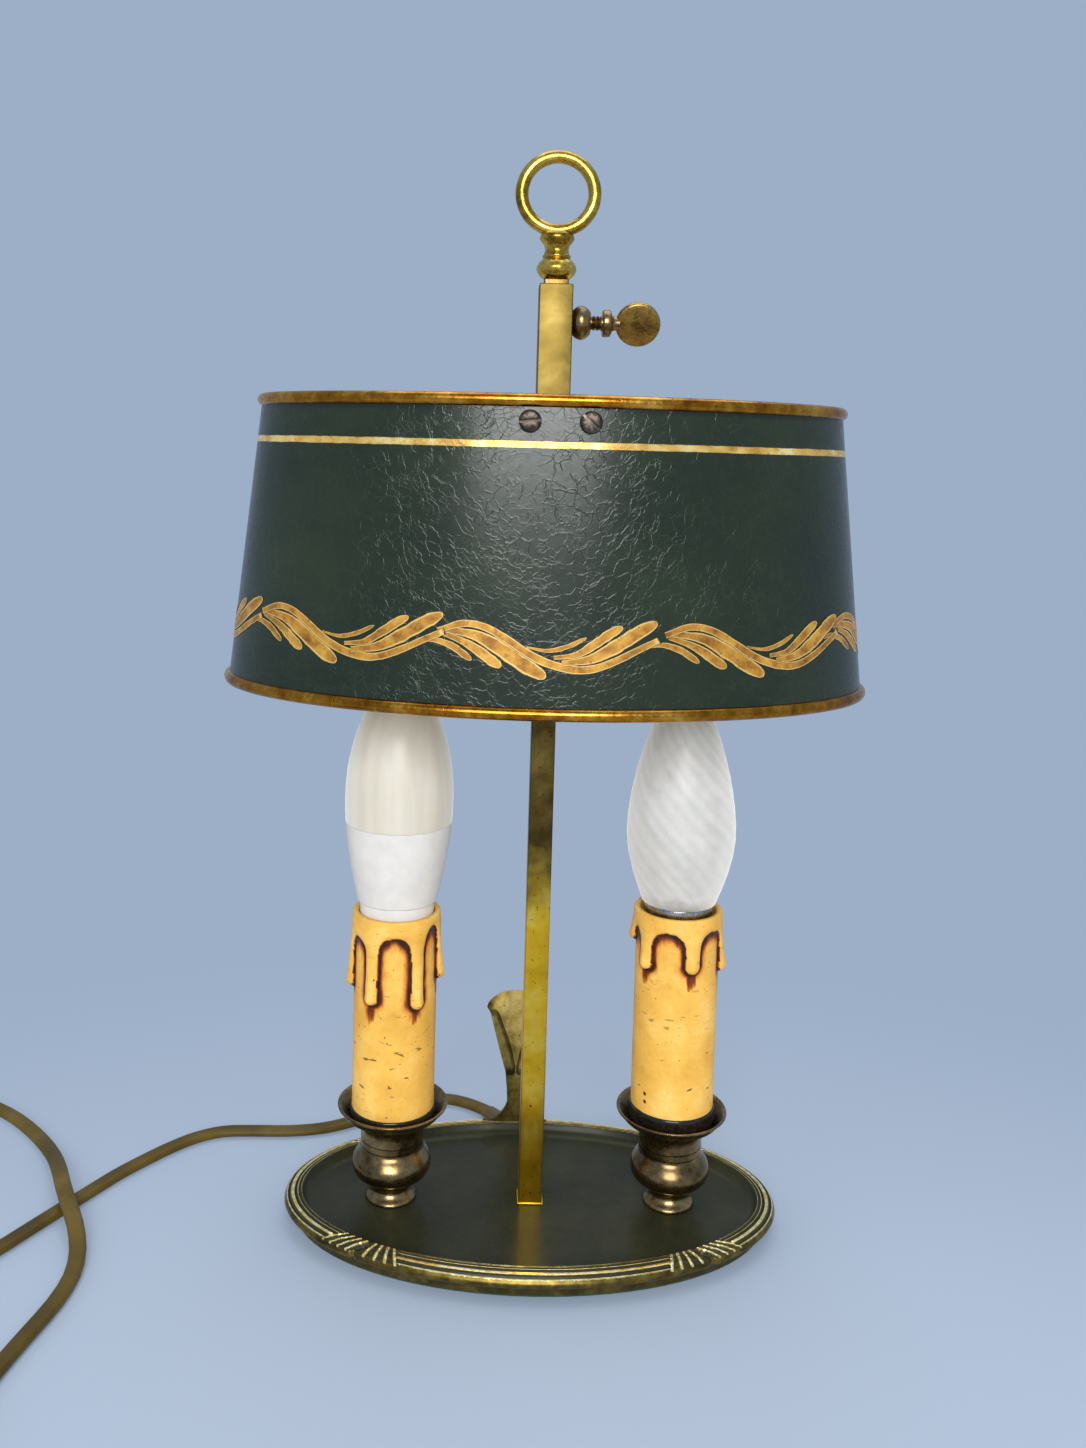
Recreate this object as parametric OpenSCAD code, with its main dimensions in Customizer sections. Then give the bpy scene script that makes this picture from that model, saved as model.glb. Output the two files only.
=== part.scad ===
// Bouillotte lamp: two candle lights on an oval tray, under an oval metal shade that
// slides on a square stem and is clamped by a thumb screw. Millimetres, +Z up,
// X along the length of the tray, the front is towards -Y, and the lamp stands on z = 0.

/* [Base tray] */
// Length of the oval tray over its rim
tray_len = 167; // [150:1:200]
// Width of the oval tray over its rim
tray_wid = 97; // [88:1:110]
// Height of the rim's top above the table
tray_h = 10; // [9:0.5:14]
// Height of the dished floor above the table
floor_z = 5.2; // [5:0.1:6.5]
// Thickness of the cast floor
floor_t = 1.0; // [0.8:0.1:1.2]
// Width of the foot ring under the rim
foot_w = 1.8; // [1.2:0.1:3]
// How far the foot stands back from the rim's edge
foot_inset = 3.8; // [3:0.2:5]
// Thickness of the felt that closes the base
felt_t = 0.7; // [0.5:0.1:0.8]

/* [Thumb leaf] */
// Height of the leaf's top above the table
leaf_top = 54.5; // [48:0.5:60]
// Width of the leaf at its fan
leaf_w = 20.5; // [16:0.5:26]
// Width of the leaf at its stalk
leaf_stalk_w = 5.5; // [4:0.5:8]
// Thickness of the leaf
leaf_t = 1.6; // [1.2:0.1:2.4]
// Where the leaf stands along the tray
leaf_x = -4.5; // [-8:0.5:8]

/* [Stem] */
// Side of the square stem
stem_w = 8; // [7:0.5:9]
// Height of the stem's shoulder above the table
stem_top = 316.6; // [300:1:330]
// Radius of the stud that carries the ring
stud_r = 2; // [1.5:0.1:2.5]
// Radius of the screw that holds the stem
stem_screw_r = 2.5; // [2:0.1:3]
// Length of the stem's screw
stem_screw_len = 14; // [10:1:25]

/* [Ring finial] */
// Radius of the ring at the middle of its bar
ring_r = 11.9; // [10:0.1:14]
// Radius of the ring's bar
ring_bar_r = 2.15; // [1.6:0.05:2.6]
// Height of the ring's middle above the stem's shoulder
ring_rise = 27.7; // [26:0.1:32]
// Radius of the ball under the ring
ball_r = 6.6; // [6:0.1:7.5]

/* [Candle lights] */
// Distance between the two candles
candle_gap = 95; // [86:1:104]
// Outer radius of the candle sleeve
sleeve_r = 13.9; // [13.5:0.1:15]
// Wall of the candle sleeve
sleeve_wall = 1.2; // [0.8:0.1:1.3]
// Length of the candle sleeve
sleeve_len = 67.5; // [60:0.5:75]
// Height of the black seat ring under the left candle
seat_left_h = 2.8; // [2:0.1:6]
// Height of the black seat ring under the right candle
seat_right_h = 5.4; // [2:0.1:6]
// Radius of the drip pan
pan_r = 18.6; // [17:0.1:21]
// Thickness of the drip pan
pan_t = 1.1; // [0.8:0.1:1.6]
// Height of the candle cup
cup_h = 28; // [24:0.5:32]
// Radius of the cup's bulge
bulge_r = 13; // [11.5:0.1:14]
// Radius of the cup's foot
cup_foot_r = 8.5; // [7.5:0.1:10]
// Radius of the hollow threaded rod
nipple_r = 5; // [4.5:0.1:5.5]
// Radius of the hole through the threaded rod
nipple_bore_r = 3.2; // [2.5:0.1:3.5]
// Width of the thin nut across its flats
nut_af = 14; // [13:0.5:17]
// Outer radius of the lampholder
holder_r = 11.8; // [11:0.1:12.1]
// Length of the lampholder
holder_len = 57; // [50:1:62]

/* [Bulbs] */
// Outer radius of the small screw cap
cap_r = 6.95; // [6.5:0.05:7]
// Radius of the candle bulb at its widest
led_r = 18.1; // [17:0.1:19]
// Height of the candle bulb's glass and housing above its collar
led_len = 76; // [70:1:84]
// Radius of the twisted flame bulb at its widest
flame_r = 18.2; // [17:0.1:19]
// Height of the flame bulb's glass
flame_len = 78; // [72:1:86]
// Number of twisted flutes on the flame bulb
flutes = 9; // [6:1:12]
// Depth of the flutes
flute_depth = 0.6; // [0.2:0.1:1]

/* [Shade] */
// Length of the shade over its lower rim
shade_bottom_len = 212; // [190:1:230]
// Width of the shade over its lower rim
shade_bottom_wid = 123; // [116:1:135]
// Length of the shade over its upper rim
shade_top_len = 193; // [175:1:210]
// Width of the shade over its upper rim
shade_top_wid = 113; // [106:1:125]
// Height between the middles of the two rims
shade_h = 90.2; // [75:1:105]
// Height of the lower rim's middle above the table
shade_z = 184.6; // [180:0.5:195]
// Thickness of the shade's sheet metal
shade_t = 0.8; // [0.5:0.1:1.2]
// Diameter of the rolled brass rims
rim_d = 4; // [3:0.1:5]

/* [Slide] */
// Outside of the square tube that slides on the stem
tube_w = 11; // [10.5:0.1:12.5]
// Gap between the tube and the stem on each side
tube_fit = 0.1; // [0.05:0.01:0.2]
// Length of the square tube
tube_len = 100; // [80:1:110]
// How far the tube's top stays below the stem's shoulder
tube_drop = 1.8; // [1:0.1:4]
// Distance of the thumb screw below the tube's top
screw_drop = 12; // [9:0.5:15]
// Width of the cross bar
bar_w = 12; // [8:0.5:14]
// Thickness of the cross bar
bar_t = 2.4; // [1.6:0.1:3]
// Distance between the two shade screws
shade_screw_gap = 17.6; // [15:0.1:20]
// Distance of the shade screws below the upper rim's middle
shade_screw_drop = 6; // [5:0.1:8]

/* [Screws] */
// Radius of the shade screw's shank
shank_r = 2; // [1.5:0.1:2.2]
// Radius of the shade screw's head
head_r = 3.3; // [3:0.1:3.6]
// Height of the shade screw's head
head_h = 1.7; // [1.4:0.1:2.2]
// Length of the shade screw's shank
shank_len = 9; // [8:0.5:12]
// Width of the shade screw's nut across its flats
shade_nut_af = 7; // [6.5:0.1:8]
// Height of the shade screw's nut
shade_nut_h = 3; // [2:0.1:3.5]
// Radius of the thumb screw's thread
thumb_r = 2.5; // [2:0.1:2.8]
// Radius of the thumb screw's disc
disc_r = 7.4; // [6:0.1:8.5]
// Thickness of the thumb screw's disc
disc_t = 3; // [2:0.1:4]
// Radius of the boss on the tube
boss_r = 5.6; // [4.5:0.1:6]
// Length of the boss on the tube
boss_len = 6.1; // [5:0.1:8]

/* [Cord fittings] */
// Width of the flat cord
cord_w = 5.4; // [5:0.1:6]
// Thickness of the flat cord
cord_t = 3.2; // [2.8:0.1:3.6]
// Length of the cord switch
switch_len = 58; // [56:1:60]
// Width of the cord switch
switch_w = 24; // [20:1:28]
// Height of the cord switch
switch_h = 15; // [13:0.5:18]
// How far the rocker tips to each side
rocker_tip = 10; // [6:1:14]
// Length of the plug's body
plug_len = 36; // [32:1:40]
// Width of the plug's body
plug_w = 26; // [22:1:30]
// Height of the plug's body
plug_h = 13.7; // [12:0.1:16]
// Radius of the plug's pins
pin_r = 2; // [1.9:0.05:2.4]
// Length of the plug's pins
pin_len = 19; // [17:0.5:20]
// Distance between the plug's pins
pin_gap = 19; // [17:0.5:20]

/* [Hidden] */
$fn = 64;

clear = 0.1;            // gap of a screw in its hole, all round
gap = 0.05;             // gap between faces that only lie against each other
oval_n = 80;            // corners of each oval

// Tray and what stands on it
tray_a = tray_len/2;
tray_b = tray_wid/2;
under_z = floor_z - floor_t;
wire_r = 0.65;
wire_z = felt_t + gap + wire_r;
nut_z = wire_z + wire_r + 0.25;
nut_h = under_z - nut_z;
cup_top = floor_z + cup_h;
pan_floor = cup_top + pan_t;
pan_rim_z = cup_top + 5.3;
pan_seat_r = bulge_r - 1.6;
holder_z = pan_floor + 8;
holder_top = holder_z + holder_len;
cap_z = holder_top - 15.5;
left_top = pan_floor + seat_left_h + sleeve_len;
right_top = pan_floor + seat_right_h + sleeve_len;
led_z = left_top - 0.9;
led_line = 32;          // height of the housing's edge above the collar's foot
flame_z = right_top + 3.5;
holder_wall_r = cap_r + 0.3;

// Slide and shade
tube_top = stem_top - tube_drop;
tube_z = tube_top - tube_len;
tube_bore = stem_w + 2*tube_fit;
thumb_z = tube_top - screw_drop;
rim_r = rim_d/2;
shade_top_z = shade_z + shade_h;
a_low = shade_bottom_len/2 - rim_r;
b_low = shade_bottom_wid/2 - rim_r;
a_high = shade_top_len/2 - rim_r;
b_high = shade_top_wid/2 - rim_r;
slot_half = shade_t/2 + 0.2;
slot_depth = rim_r*0.7;
shade_screw_z = shade_top_z - shade_screw_drop;
wall_tilt = atan((b_low - b_high)/shade_h);
screw_b = b_low + (b_high - b_low)*(shade_screw_z - shade_z)/shade_h;
screw_a = a_low + (a_high - a_low)*(shade_screw_z - shade_z)/shade_h;
tab_w = shade_screw_gap + 2*head_r + 2;
tab_h = 9.6;
tab_up = shade_screw_drop - rim_r - 0.4;
tab_t = 1.8;
tab_y = (screw_b - shade_t/2)*sqrt(1 - pow(tab_w/2/screw_a, 2)) - 0.1;
head_y = (screw_b + shade_t/2)*sqrt(1 - pow((shade_screw_gap/2 - head_r)/screw_a, 2)) + gap;
bar_z = shade_screw_z - tab_h/2;

// Thumb screw, along +X from the stem's side
stem_face = stem_w/2;
tube_face = tube_w/2;
pad_t = 0.8;
pad_x = stem_face + gap;
tip_x = pad_x + pad_t + gap;
boss_end = tube_face + boss_len;
collar_x = boss_end + 3.9;
disc_x = collar_x + 4.4 + disc_r;
thumb_bore = thumb_r + clear;
disc_turn = 22;
grooves = 3;

// Cord: where it leaves the base, and the points that its middle follows
cord_out = [-3, 47, 2.6];
cord_heading = 125;
run_in = [[-14.5, 63.5, 2.0], [-21.5, 69.5, 1.6], [-30, 73, 1.6], [-39.5, 72.5, 1.6],
    [-49, 67.5, 1.6], [-58, 60.5, 1.6], [-67, 54, 1.6], [-77, 49, 1.6], [-89, 46.5, 1.6],
    [-103, 46, 1.6], [-114, 45, 1.6], [-123, 40.5, 1.6], [-131, 33, 1.6], [-138, 24.5, 1.6],
    [-145, 15, 1.6], [-151, 5, 1.6], [-157, -5, 1.6], [-164, -17, 1.6], [-171, -29, 1.6],
    [-179, -40, 1.6], [-189, -48.5, 1.6], [-202, -54, 1.6], [-216, -54.5, 1.6],
    [-229, -50, 1.6], [-240, -41.5, 1.8], [-248, -31, 3], [-251, -22, 4]];
run_out = [[-251, 36, 4], [-250, 45, 3], [-245, 54, 1.8], [-236, 61.5, 1.6], [-224, 64.5, 1.6],
    [-211, 62, 1.6], [-199, 55, 1.6], [-189, 46.5, 1.6], [-179.5, 36.5, 1.6],
    [-171.5, 25.5, 2.3], [-165.5, 14, 4.0], [-160.5, 3, 4.9], [-155, -8, 4.9],
    [-149.5, -18, 4.0], [-145, -29, 2.2], [-143, -41, 1.6], [-144, -54, 1.6],
    [-147, -67, 1.6], [-150, -80, 1.6], [-152.5, -95, 1.6], [-153.6, -112, 1.6]];
coil_at = [-190, -112];
coil_r = 31;            // radius of the coil at the middle of its turns
coil_turns = 3;         // turns side by side
coil_layers = 2;
turn_step = 5.6;
tail = [[-215.7, -137.7, 4.9], [-221, -132.4, 4.2], [-227, -126.4, 3.6], [-233, -120.4, 3.6]];
plug_turn = 135;
switch_at = [-251, 7];

// Points of an ellipse at height z
function oval(a, b, z, n = oval_n) = [for (i = [0:n-1]) [a*cos(360*i/n), b*sin(360*i/n), z]];

// Points of an arc about (x, z)
function arc(x, z, r, from, to, n = 8) =
    [for (i = [0:n]) [x + r*cos(from + (to - from)*i/n), z + r*sin(from + (to - from)*i/n)]];

// Two triangles between neighbouring corners of two rows
function skin(rows, n, wrap) =
    [for (k = [0:rows - (wrap ? 1 : 2)], i = [0:n-1])
        let (j = (i + 1)%n, m = (k + 1)%rows)
        each [[k*n + i, k*n + j, m*n + j], [k*n + i, m*n + j, m*n + i]]];

// A closed solid through stacked ovals [a, b, z], listed from the top down the outside
module oval_stack(stations, n = oval_n) {
    rows = len(stations);
    polyhedron(
        points = [for (s = stations) each oval(s[0], s[1], s[2], n)],
        faces = concat([[for (i = [n-1:-1:0]) i]], [[for (i = [0:n-1]) (rows-1)*n + i]],
            skin(rows, n, false)));
}

// A closed oval ring whose section is the loop of stations [a, b, z], clockwise from outside
module oval_loop(stations, n = oval_n) {
    polyhedron(points = [for (s = stations) each oval(s[0], s[1], s[2], n)],
        faces = skin(len(stations), n, true));
}

// A tube with a flat-lying oval section, swept along points; w and t may change by row
function section(p, dir, w, t, n) =
    [for (i = [0:n-1]) let (c = w/2*cos(360*i/n), s = t/2*sin(360*i/n))
        [p[0] + dir[1]*c, p[1] - dir[0]*c, p[2] + s]];
function flat_unit(v) = let (l = norm([v[0], v[1]])) [v[0]/l, v[1]/l];
function heading(path, i) = flat_unit(path[min(i + 1, len(path) - 1)] - path[max(i - 1, 0)]);
module cord_sweep(path, w, t, n = 12) {
    rows = len(path);
    polyhedron(
        points = [for (i = [0:rows-1]) each section(path[i], heading(path, i),
            is_list(w) ? w[i] : w, is_list(t) ? t[i] : t, n)],
        faces = concat([[for (i = [n-1:-1:0]) i]], [[for (i = [0:n-1]) (rows-1)*n + i]],
            skin(rows, n, false)));
}

// Points on the smooth curve through the path, two for each stretch
function between(p, i, u) = let (a = p[max(i-1, 0)], b = p[i], c = p[i+1], d = p[min(i+2, len(p)-1)])
    0.5*(2*b + (c - a)*u + (2*a - 5*b + 4*c - d)*u*u + (3*b - a - 3*c + d)*u*u*u);
function smooth(p) = concat([for (i = [0:len(p)-2], u = [0, 0.5]) between(p, i, u)], [p[len(p)-1]]);

// Turned piece with its axis along +X from the origin
module turned_x(points) {
    rotate([0, 90, 0]) rotate_extrude() polygon(points);
}

module place_candle(side) {
    translate([side*candle_gap/2, 0, 0]) children();
}

module hex_nut(af, bore, h) {
    difference() {
        cylinder(r = af/2/cos(30), h = h, $fn = 6);
        translate([0, 0, -1]) cylinder(r = bore, h = h + 2);
    }
}

// ---- Base ----

module bush_slot() {
    translate(cord_out) rotate([0, 0, cord_heading])
        translate([-8.5, -4.3, -cord_out[2] - 1]) cube([20, 8.6, 5.8]);
}

module base_tray() {
    profile = [[-10.5, floor_z], [-8.3, floor_z + 0.35], [-6.6, floor_z + 1.7],
        [-5.6, tray_h - 0.7], [-4.9, tray_h], [-3.3, tray_h], [-2.6, tray_h - 0.9],
        [-1.6, tray_h - 0.9], [-0.9, tray_h - 2.2], [-0.2, tray_h - 2.5], [0, tray_h - 3.6],
        [-1, tray_h - 5], [-foot_inset + 0.3, tray_h - 6.4], [-foot_inset, felt_t],
        [-foot_inset - foot_w, felt_t], [-foot_inset - foot_w - 0.6, under_z]];
    color("#3b3f33") difference() {
        oval_stack([for (p = profile) [tray_a + p[0], tray_b + p[0], p[1]]]);
        bush_slot();
        for (side = [-1, 1]) place_candle(side) cylinder(r = nipple_r + clear, h = tray_h);
        cylinder(r = stem_screw_r + clear, h = tray_h);
    }
}

module felt_pad() {
    color("#2c4a33") linear_extrude(felt_t - gap)
        polygon([for (p = oval(tray_a - foot_inset - 0.4, tray_b - foot_inset - 0.4, 0)) [p[0], p[1]]]);
}

// The leaf is a cupped fan that leans back; its rows run from the stalk to the top
leaf_rows = 10;
leaf_cols = 8;
leaf_foot = tray_h + gap;
leaf_lean = 12;         // how far the top stands behind the foot
foot_half = 12;
foot_sweep = 9.3;
function leaf_half(u) = leaf_stalk_w/2 + (leaf_w - leaf_stalk_w)/2*(u < 0.35 ? 0 :
    sin(min(90, 90*(u - 0.35)/0.5)))*(u > 0.88 ? cos(70*(u - 0.88)/0.12) : 1);
function leaf_point(u, v, out) = [
    leaf_x + v*leaf_half(u),
    tray_b - 5.6 + leaf_lean*pow(u, 1.4) - 2.2*u*v*v + out,
    leaf_foot + 2 + (leaf_top - leaf_foot - 2)*u - 1.6*u*v*v];
function leaf_end(at, side) = [for (i = [0:leaf_cols-1]) let (o = side - 1 - i)
    each [[at + i, at + i + 1, at + o - 1], [at + i, at + o - 1, at + o]]];
module thumb_leaf() {
    side = 2*leaf_cols + 2;
    rows = [for (k = [0:leaf_rows]) let (u = k/leaf_rows) concat(
        [for (i = [0:leaf_cols]) leaf_point(u, 2*i/leaf_cols - 1, 0)],
        [for (i = [leaf_cols:-1:0]) leaf_point(u, 2*i/leaf_cols - 1, leaf_t)])];
    color("#6a673f") {
        polyhedron(points = [for (r = rows) each r],
            faces = concat(leaf_end(0, side),
                [for (f = concat(leaf_end(leaf_rows*side, side), skin(leaf_rows + 1, side, false)))
                    [f[2], f[1], f[0]]]));
        // Foot that spreads over the tray's rim
        translate([leaf_x, tray_b - 4.8 + leaf_t/2, leaf_foot]) rotate([90, 0, 0]) linear_extrude(leaf_t)
            polygon(concat(arc(foot_half, foot_sweep, foot_sweep, 270, 225, 4),
                arc(-foot_half, foot_sweep, foot_sweep, -45, -90, 4)));
    }
}

module stem_bar() {
    color("#c9a12a") difference() {
        union() {
            translate([-stem_w/2, -stem_w/2, floor_z + gap])
                cube([stem_w, stem_w, stem_top - floor_z - gap]);
            translate([-stem_w/2 - 0.7, -stem_w/2 - 0.4, floor_z + gap])
                cube([stem_w + 1.4, stem_w + 0.8, 0.8]);
            translate([0, 0, stem_top - 1]) cylinder(r = stud_r, h = 1 + ball_r - 1);
        }
        translate([0, 0, floor_z - 1]) cylinder(r = stem_screw_r + gap, h = stem_screw_len);
    }
}

module stem_screw() {
    head = nut_h - 0.3;
    color("#9a9a94") translate([0, 0, under_z - gap - head]) difference() {
        union() {
            cylinder(r = 2*stem_screw_r, h = head);
            cylinder(r = stem_screw_r, h = stem_screw_len);
        }
        translate([-10, -0.5, -1]) cube([20, 1, 1.5]);
    }
}

module ring_finial() {
    neck_z = ring_rise - ring_r;
    color("#b8962f") translate([0, 0, stem_top + gap]) difference() {
        union() {
            rotate_extrude() polygon(concat([[0, 0], [4.2, 0]],
                arc(ball_r - 3.3, 3.3, 3.3, -60, 60), [[4.3, 6.9], [4.6, 7.4], [4.1, 8.2], [4, 9.5],
                [4.5, 11.2], [5.6, 12.6], [5.2, neck_z - 1.4], [3, neck_z - 0.4], [0, neck_z]]));
            translate([0, 0, ring_rise]) rotate([90, 0, 0])
                rotate_extrude() translate([ring_r, 0]) circle(r = ring_bar_r, $fn = 32);
        }
        translate([0, 0, -1]) cylinder(r = stud_r + gap, h = ball_r + 0.6);
    }
}

// ---- Candle lights ----

module candle_cup() {
    bulge_bar = 5.4;
    bulge_z = floor_z + 0.45*cup_h;
    waist_r = bulge_r - 5.9;
    neck_r = bulge_r - 2.8;
    color("#5d4c3f") rotate_extrude() polygon(concat(
        [[nipple_r + clear, floor_z + gap], [cup_foot_r, floor_z + gap], [cup_foot_r + 0.2, floor_z + 1],
         [cup_foot_r - 0.4, floor_z + 1.9], [waist_r + 0.2, floor_z + 3], [waist_r, floor_z + 4.6],
         [waist_r + 0.9, bulge_z - 6]],
        arc(bulge_r - bulge_bar, bulge_z, bulge_bar, -50, 62),
        [[neck_r, bulge_z + 5.8], [neck_r, bulge_z + 6.3], [neck_r - 0.5, bulge_z + 6.6],
         [neck_r, bulge_z + 6.9], [neck_r, bulge_z + 8.6], [neck_r - 0.5, bulge_z + 8.9],
         [neck_r, bulge_z + 9.2], [neck_r, cup_top - 4], [neck_r + 0.5, cup_top - 1.6],
         [neck_r + 1.2, cup_top - gap], [nipple_r + clear, cup_top - gap]]));
}

module drip_pan() {
    color("#5b4538") rotate_extrude() polygon([[nipple_r + clear, cup_top], [pan_seat_r, cup_top],
        [pan_r - 3, cup_top + 1.6], [pan_r - 1, pan_rim_z - 1.6], [pan_r, pan_rim_z - 0.6],
        [pan_r - 0.2, pan_rim_z], [pan_r - 0.9, pan_rim_z], [pan_r - 2, pan_rim_z - 1.4],
        [pan_r - 3.6, cup_top + 1.6 + pan_t], [pan_seat_r, pan_floor], [nipple_r + clear, pan_floor]]);
}

// Black ring that the candle sleeve stands on, held down by the lampholder's stand
module seat_ring(h) {
    bead = sleeve_r + 0.6;
    lift = 1.6*(bead - 0.5 - pan_seat_r)/(pan_r - 3.6 - pan_seat_r) + 0.2;
    color("#15120f") rotate_extrude() polygon([[nipple_r + clear, pan_floor + gap],
        [pan_seat_r - 0.1, pan_floor + gap], [bead - 0.5, pan_floor + lift], [bead, pan_floor + h - 0.9],
        [bead - 0.3, pan_floor + h - gap], [nipple_r + clear, pan_floor + h - gap]]);
}

module nipple() {
    color("#b7a04e") translate([0, 0, nut_z - 0.15]) difference() {
        cylinder(r = nipple_r, h = holder_z + 9 - nut_z);
        translate([0, 0, -1]) cylinder(r = nipple_bore_r, h = holder_z + 20);
    }
}

module nipple_nut() {
    color("#a8a8a0") translate([0, 0, nut_z]) hex_nut(nut_af, nipple_r + gap, nut_h - gap);
}

module lamp_holder() {
    stand_r = 8.4;
    color("#e9e4d8") translate([0, 0, holder_z]) difference() {
        union() {
            cylinder(r = stand_r, h = holder_len);
            translate([0, 0, 22]) cylinder(r = holder_r, h = holder_len - 22);
        }
        translate([0, 0, -1]) cylinder(r = nipple_r + gap, h = 10.5);
        cylinder(r = nipple_bore_r, h = 34);
        translate([0, 0, 33]) cylinder(r = holder_wall_r, h = holder_len);
    }
}

// Nut that clamps the seat ring, the pan and the cup against the tray
module holder_nut(seat_h) {
    color("#b7a04e") translate([0, 0, pan_floor + seat_h]) hex_nut(nut_af - 1, nipple_r + gap, 2.1);
}

module holder_contact() {
    foot = holder_z + 33 + gap;
    color("#c7a44a") translate([0, 0, foot]) {
        cylinder(r = 3.6, h = 1);
        translate([-1.5, -0.3, 0.5]) cube([3, 0.6, cap_z - 4.8 - foot]);
        translate([-1.5, -1.5, cap_z - 4.6 - foot]) cube([3, 3, 0.5]);
    }
}

// Wax-look sleeve; each drip is a rounded finger that runs down from the rim
module candle_sleeve(foot, drips) {
    bore = sleeve_r - sleeve_wall;
    color("#e0bc72") translate([0, 0, foot]) difference() {
        union() {
            cylinder(r = sleeve_r, h = sleeve_len);
            translate([0, 0, sleeve_len - 7]) cylinder(r = sleeve_r + 0.7, h = 6);
            for (d = drips) rotate([0, 0, d[0]]) translate([sleeve_r - 0.6, 0, sleeve_len - d[1]]) {
                cylinder(r = d[2], h = d[1] - 2, $fn = 24);
                sphere(r = d[2], $fn = 24);
            }
        }
        translate([0, 0, -1]) cylinder(r = bore, h = sleeve_len + 2);
        translate([0, 0, sleeve_len]) cylinder(r = sleeve_r + 4, h = 4);
    }
}
left_drips = [[186, 26.4, 1.9], [240, 28.5, 2], [304, 29.8, 2], [356, 23.4, 1.9], [40, 25, 1.8],
    [88, 29, 1.9], [137, 22, 1.8]];
right_drips = [[173, 13.9, 1.9], [216, 20.4, 2], [283, 19.9, 2], [348, 23.1, 1.9], [32, 18, 1.8],
    [78, 24, 1.9], [126, 20, 1.8]];

// ---- Bulbs ----

module screw_cap(bottom, top) {
    turns = 4;
    pitch = 2.8;
    color("#b9b9b4") rotate_extrude() polygon(concat([[0, bottom - 4], [2.4, bottom - 4],
        [4.6, bottom]], [for (i = [0:turns-1]) each [[cap_r - 0.7, bottom + 0.6 + i*pitch],
        [cap_r, bottom + 0.6 + (i + 0.5)*pitch]]], [[cap_r - 0.6, bottom + 1 + turns*pitch],
        [cap_r - 0.6, top], [0, top]]));
}

module led_cap() { screw_cap(cap_z, led_z - gap); }

module led_collar() {
    color("#eef0f2") translate([0, 0, led_z]) rotate_extrude() polygon([[0, 0], [led_r - 6.2, 0],
        [led_r - 5.7, 0.6], [led_r - 5.7, 4.9], [led_r - 6.1, 5.4], [0, 5.4]]);
}

// Half width of the candle bulb at height u above the collar's foot
function led_width(u) = let (wide = 39.5, foot = led_r - 6)
    u < wide ? foot + (led_r - foot)*sin(90*u/wide) :
    led_r*pow(max(0, 1 - pow((u - wide)/(led_len + 5.4 - wide), 2)), 0.62);

module led_housing() {
    color("#f2f3f5") translate([0, 0, led_z]) rotate_extrude() polygon(concat([[0, 5.4 + gap]],
        [for (u = [5.4 + gap : 3.3 : led_line]) [led_width(u), u]],
        [[led_width(led_line), led_line], [led_r - 2.5, led_line], [led_r - 2.5, led_line - 2.5],
         [0, led_line - 2.5]]));
}

module led_board() {
    color("#e6e6df") translate([0, 0, led_z + led_line - 2.5 + gap]) {
        cylinder(r = led_r - 3.2, h = 1.6);
        for (k = [0:5]) rotate([0, 0, 60*k]) translate([8, -1.4, 1.5]) cube([2.8, 2.8, 0.8]);
    }
}

module led_diffuser() {
    top = led_len + 5.4;
    wall = 1.2;
    rows = 14;
    start = led_line + gap;
    color("#d8d7cc") translate([0, 0, led_z]) difference() {
        rotate_extrude() polygon(concat([[0, start], [led_width(start), start]],
            [for (k = [1:rows-1]) let (u = start + (top - start)*sin(90*k/rows)) [led_width(u), u]],
            [[0, top]]));
        rotate_extrude() polygon(concat([[0, start - 1], [led_width(start) - wall, start - 1]],
            [for (k = [1:rows-1]) let (u = start + (top - start - 2)*sin(90*k/rows))
                [max(0.3, led_width(u) - wall - 0.2*k/rows), u]], [[0, top - 2]]));
    }
}

module flame_cap() {
    color("#8b8b88") difference() {
        union() {
            screw_cap(cap_z, flame_z - 4);
            translate([0, 0, flame_z - 7]) rotate_extrude() polygon([[0, 0], [cap_r - 0.8, 0],
                [flame_r - 7, 3.2], [flame_r - 6.6, 7 - gap], [0, 7 - gap]]);
        }
        translate([0, 0, flame_z - 3]) cylinder(r = flame_r - 7.4, h = 4);
    }
}

function flame_width(u) = let (wide = 24, foot = flame_r - 5.8)
    u < wide ? foot + (flame_r - foot)*sin(90*u/wide) :
    flame_r*pow(max(0, 1 - pow((u - wide)/(flame_len - wide), 1.7)), 0.8);
function flame_ring(u, shrink, n) = [for (i = [0:n-1]) let (
        r = max(0.4, flame_width(u) - shrink), deep = flute_depth*min(1, u/8)*r/flame_r,
        a = 360*i/n, w = r - deep*(0.5 + 0.5*cos(flutes*(a + 1.15*u))))
        [w*cos(a), w*sin(a), u]];
module flame_solid(shrink, low, high, n) {
    rows = 18;
    polyhedron(points = [for (k = [0:rows]) each flame_ring(low + (high - low)*sin(90*k/rows), shrink, n)],
        faces = concat([[for (i = [0:n-1]) i]], [[for (i = [n-1:-1:0]) rows*n + i]],
            [for (f = skin(rows + 1, n, false)) [f[2], f[1], f[0]]]));
}
module flame_glass() {
    color("#dfe2e4") translate([0, 0, flame_z]) difference() {
        flame_solid(0, 0, flame_len - 0.3, 54);
        translate([0, 0, -0.01]) rotate_extrude() polygon(concat([[0, 0], [flame_width(0) - 1.8, 0]],
            [for (k = [1:9]) let (u = (flame_len - 5)*k/10) [flame_width(u) - 1.8, u]],
            [[0, flame_len - 6]]));
    }
}

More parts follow.
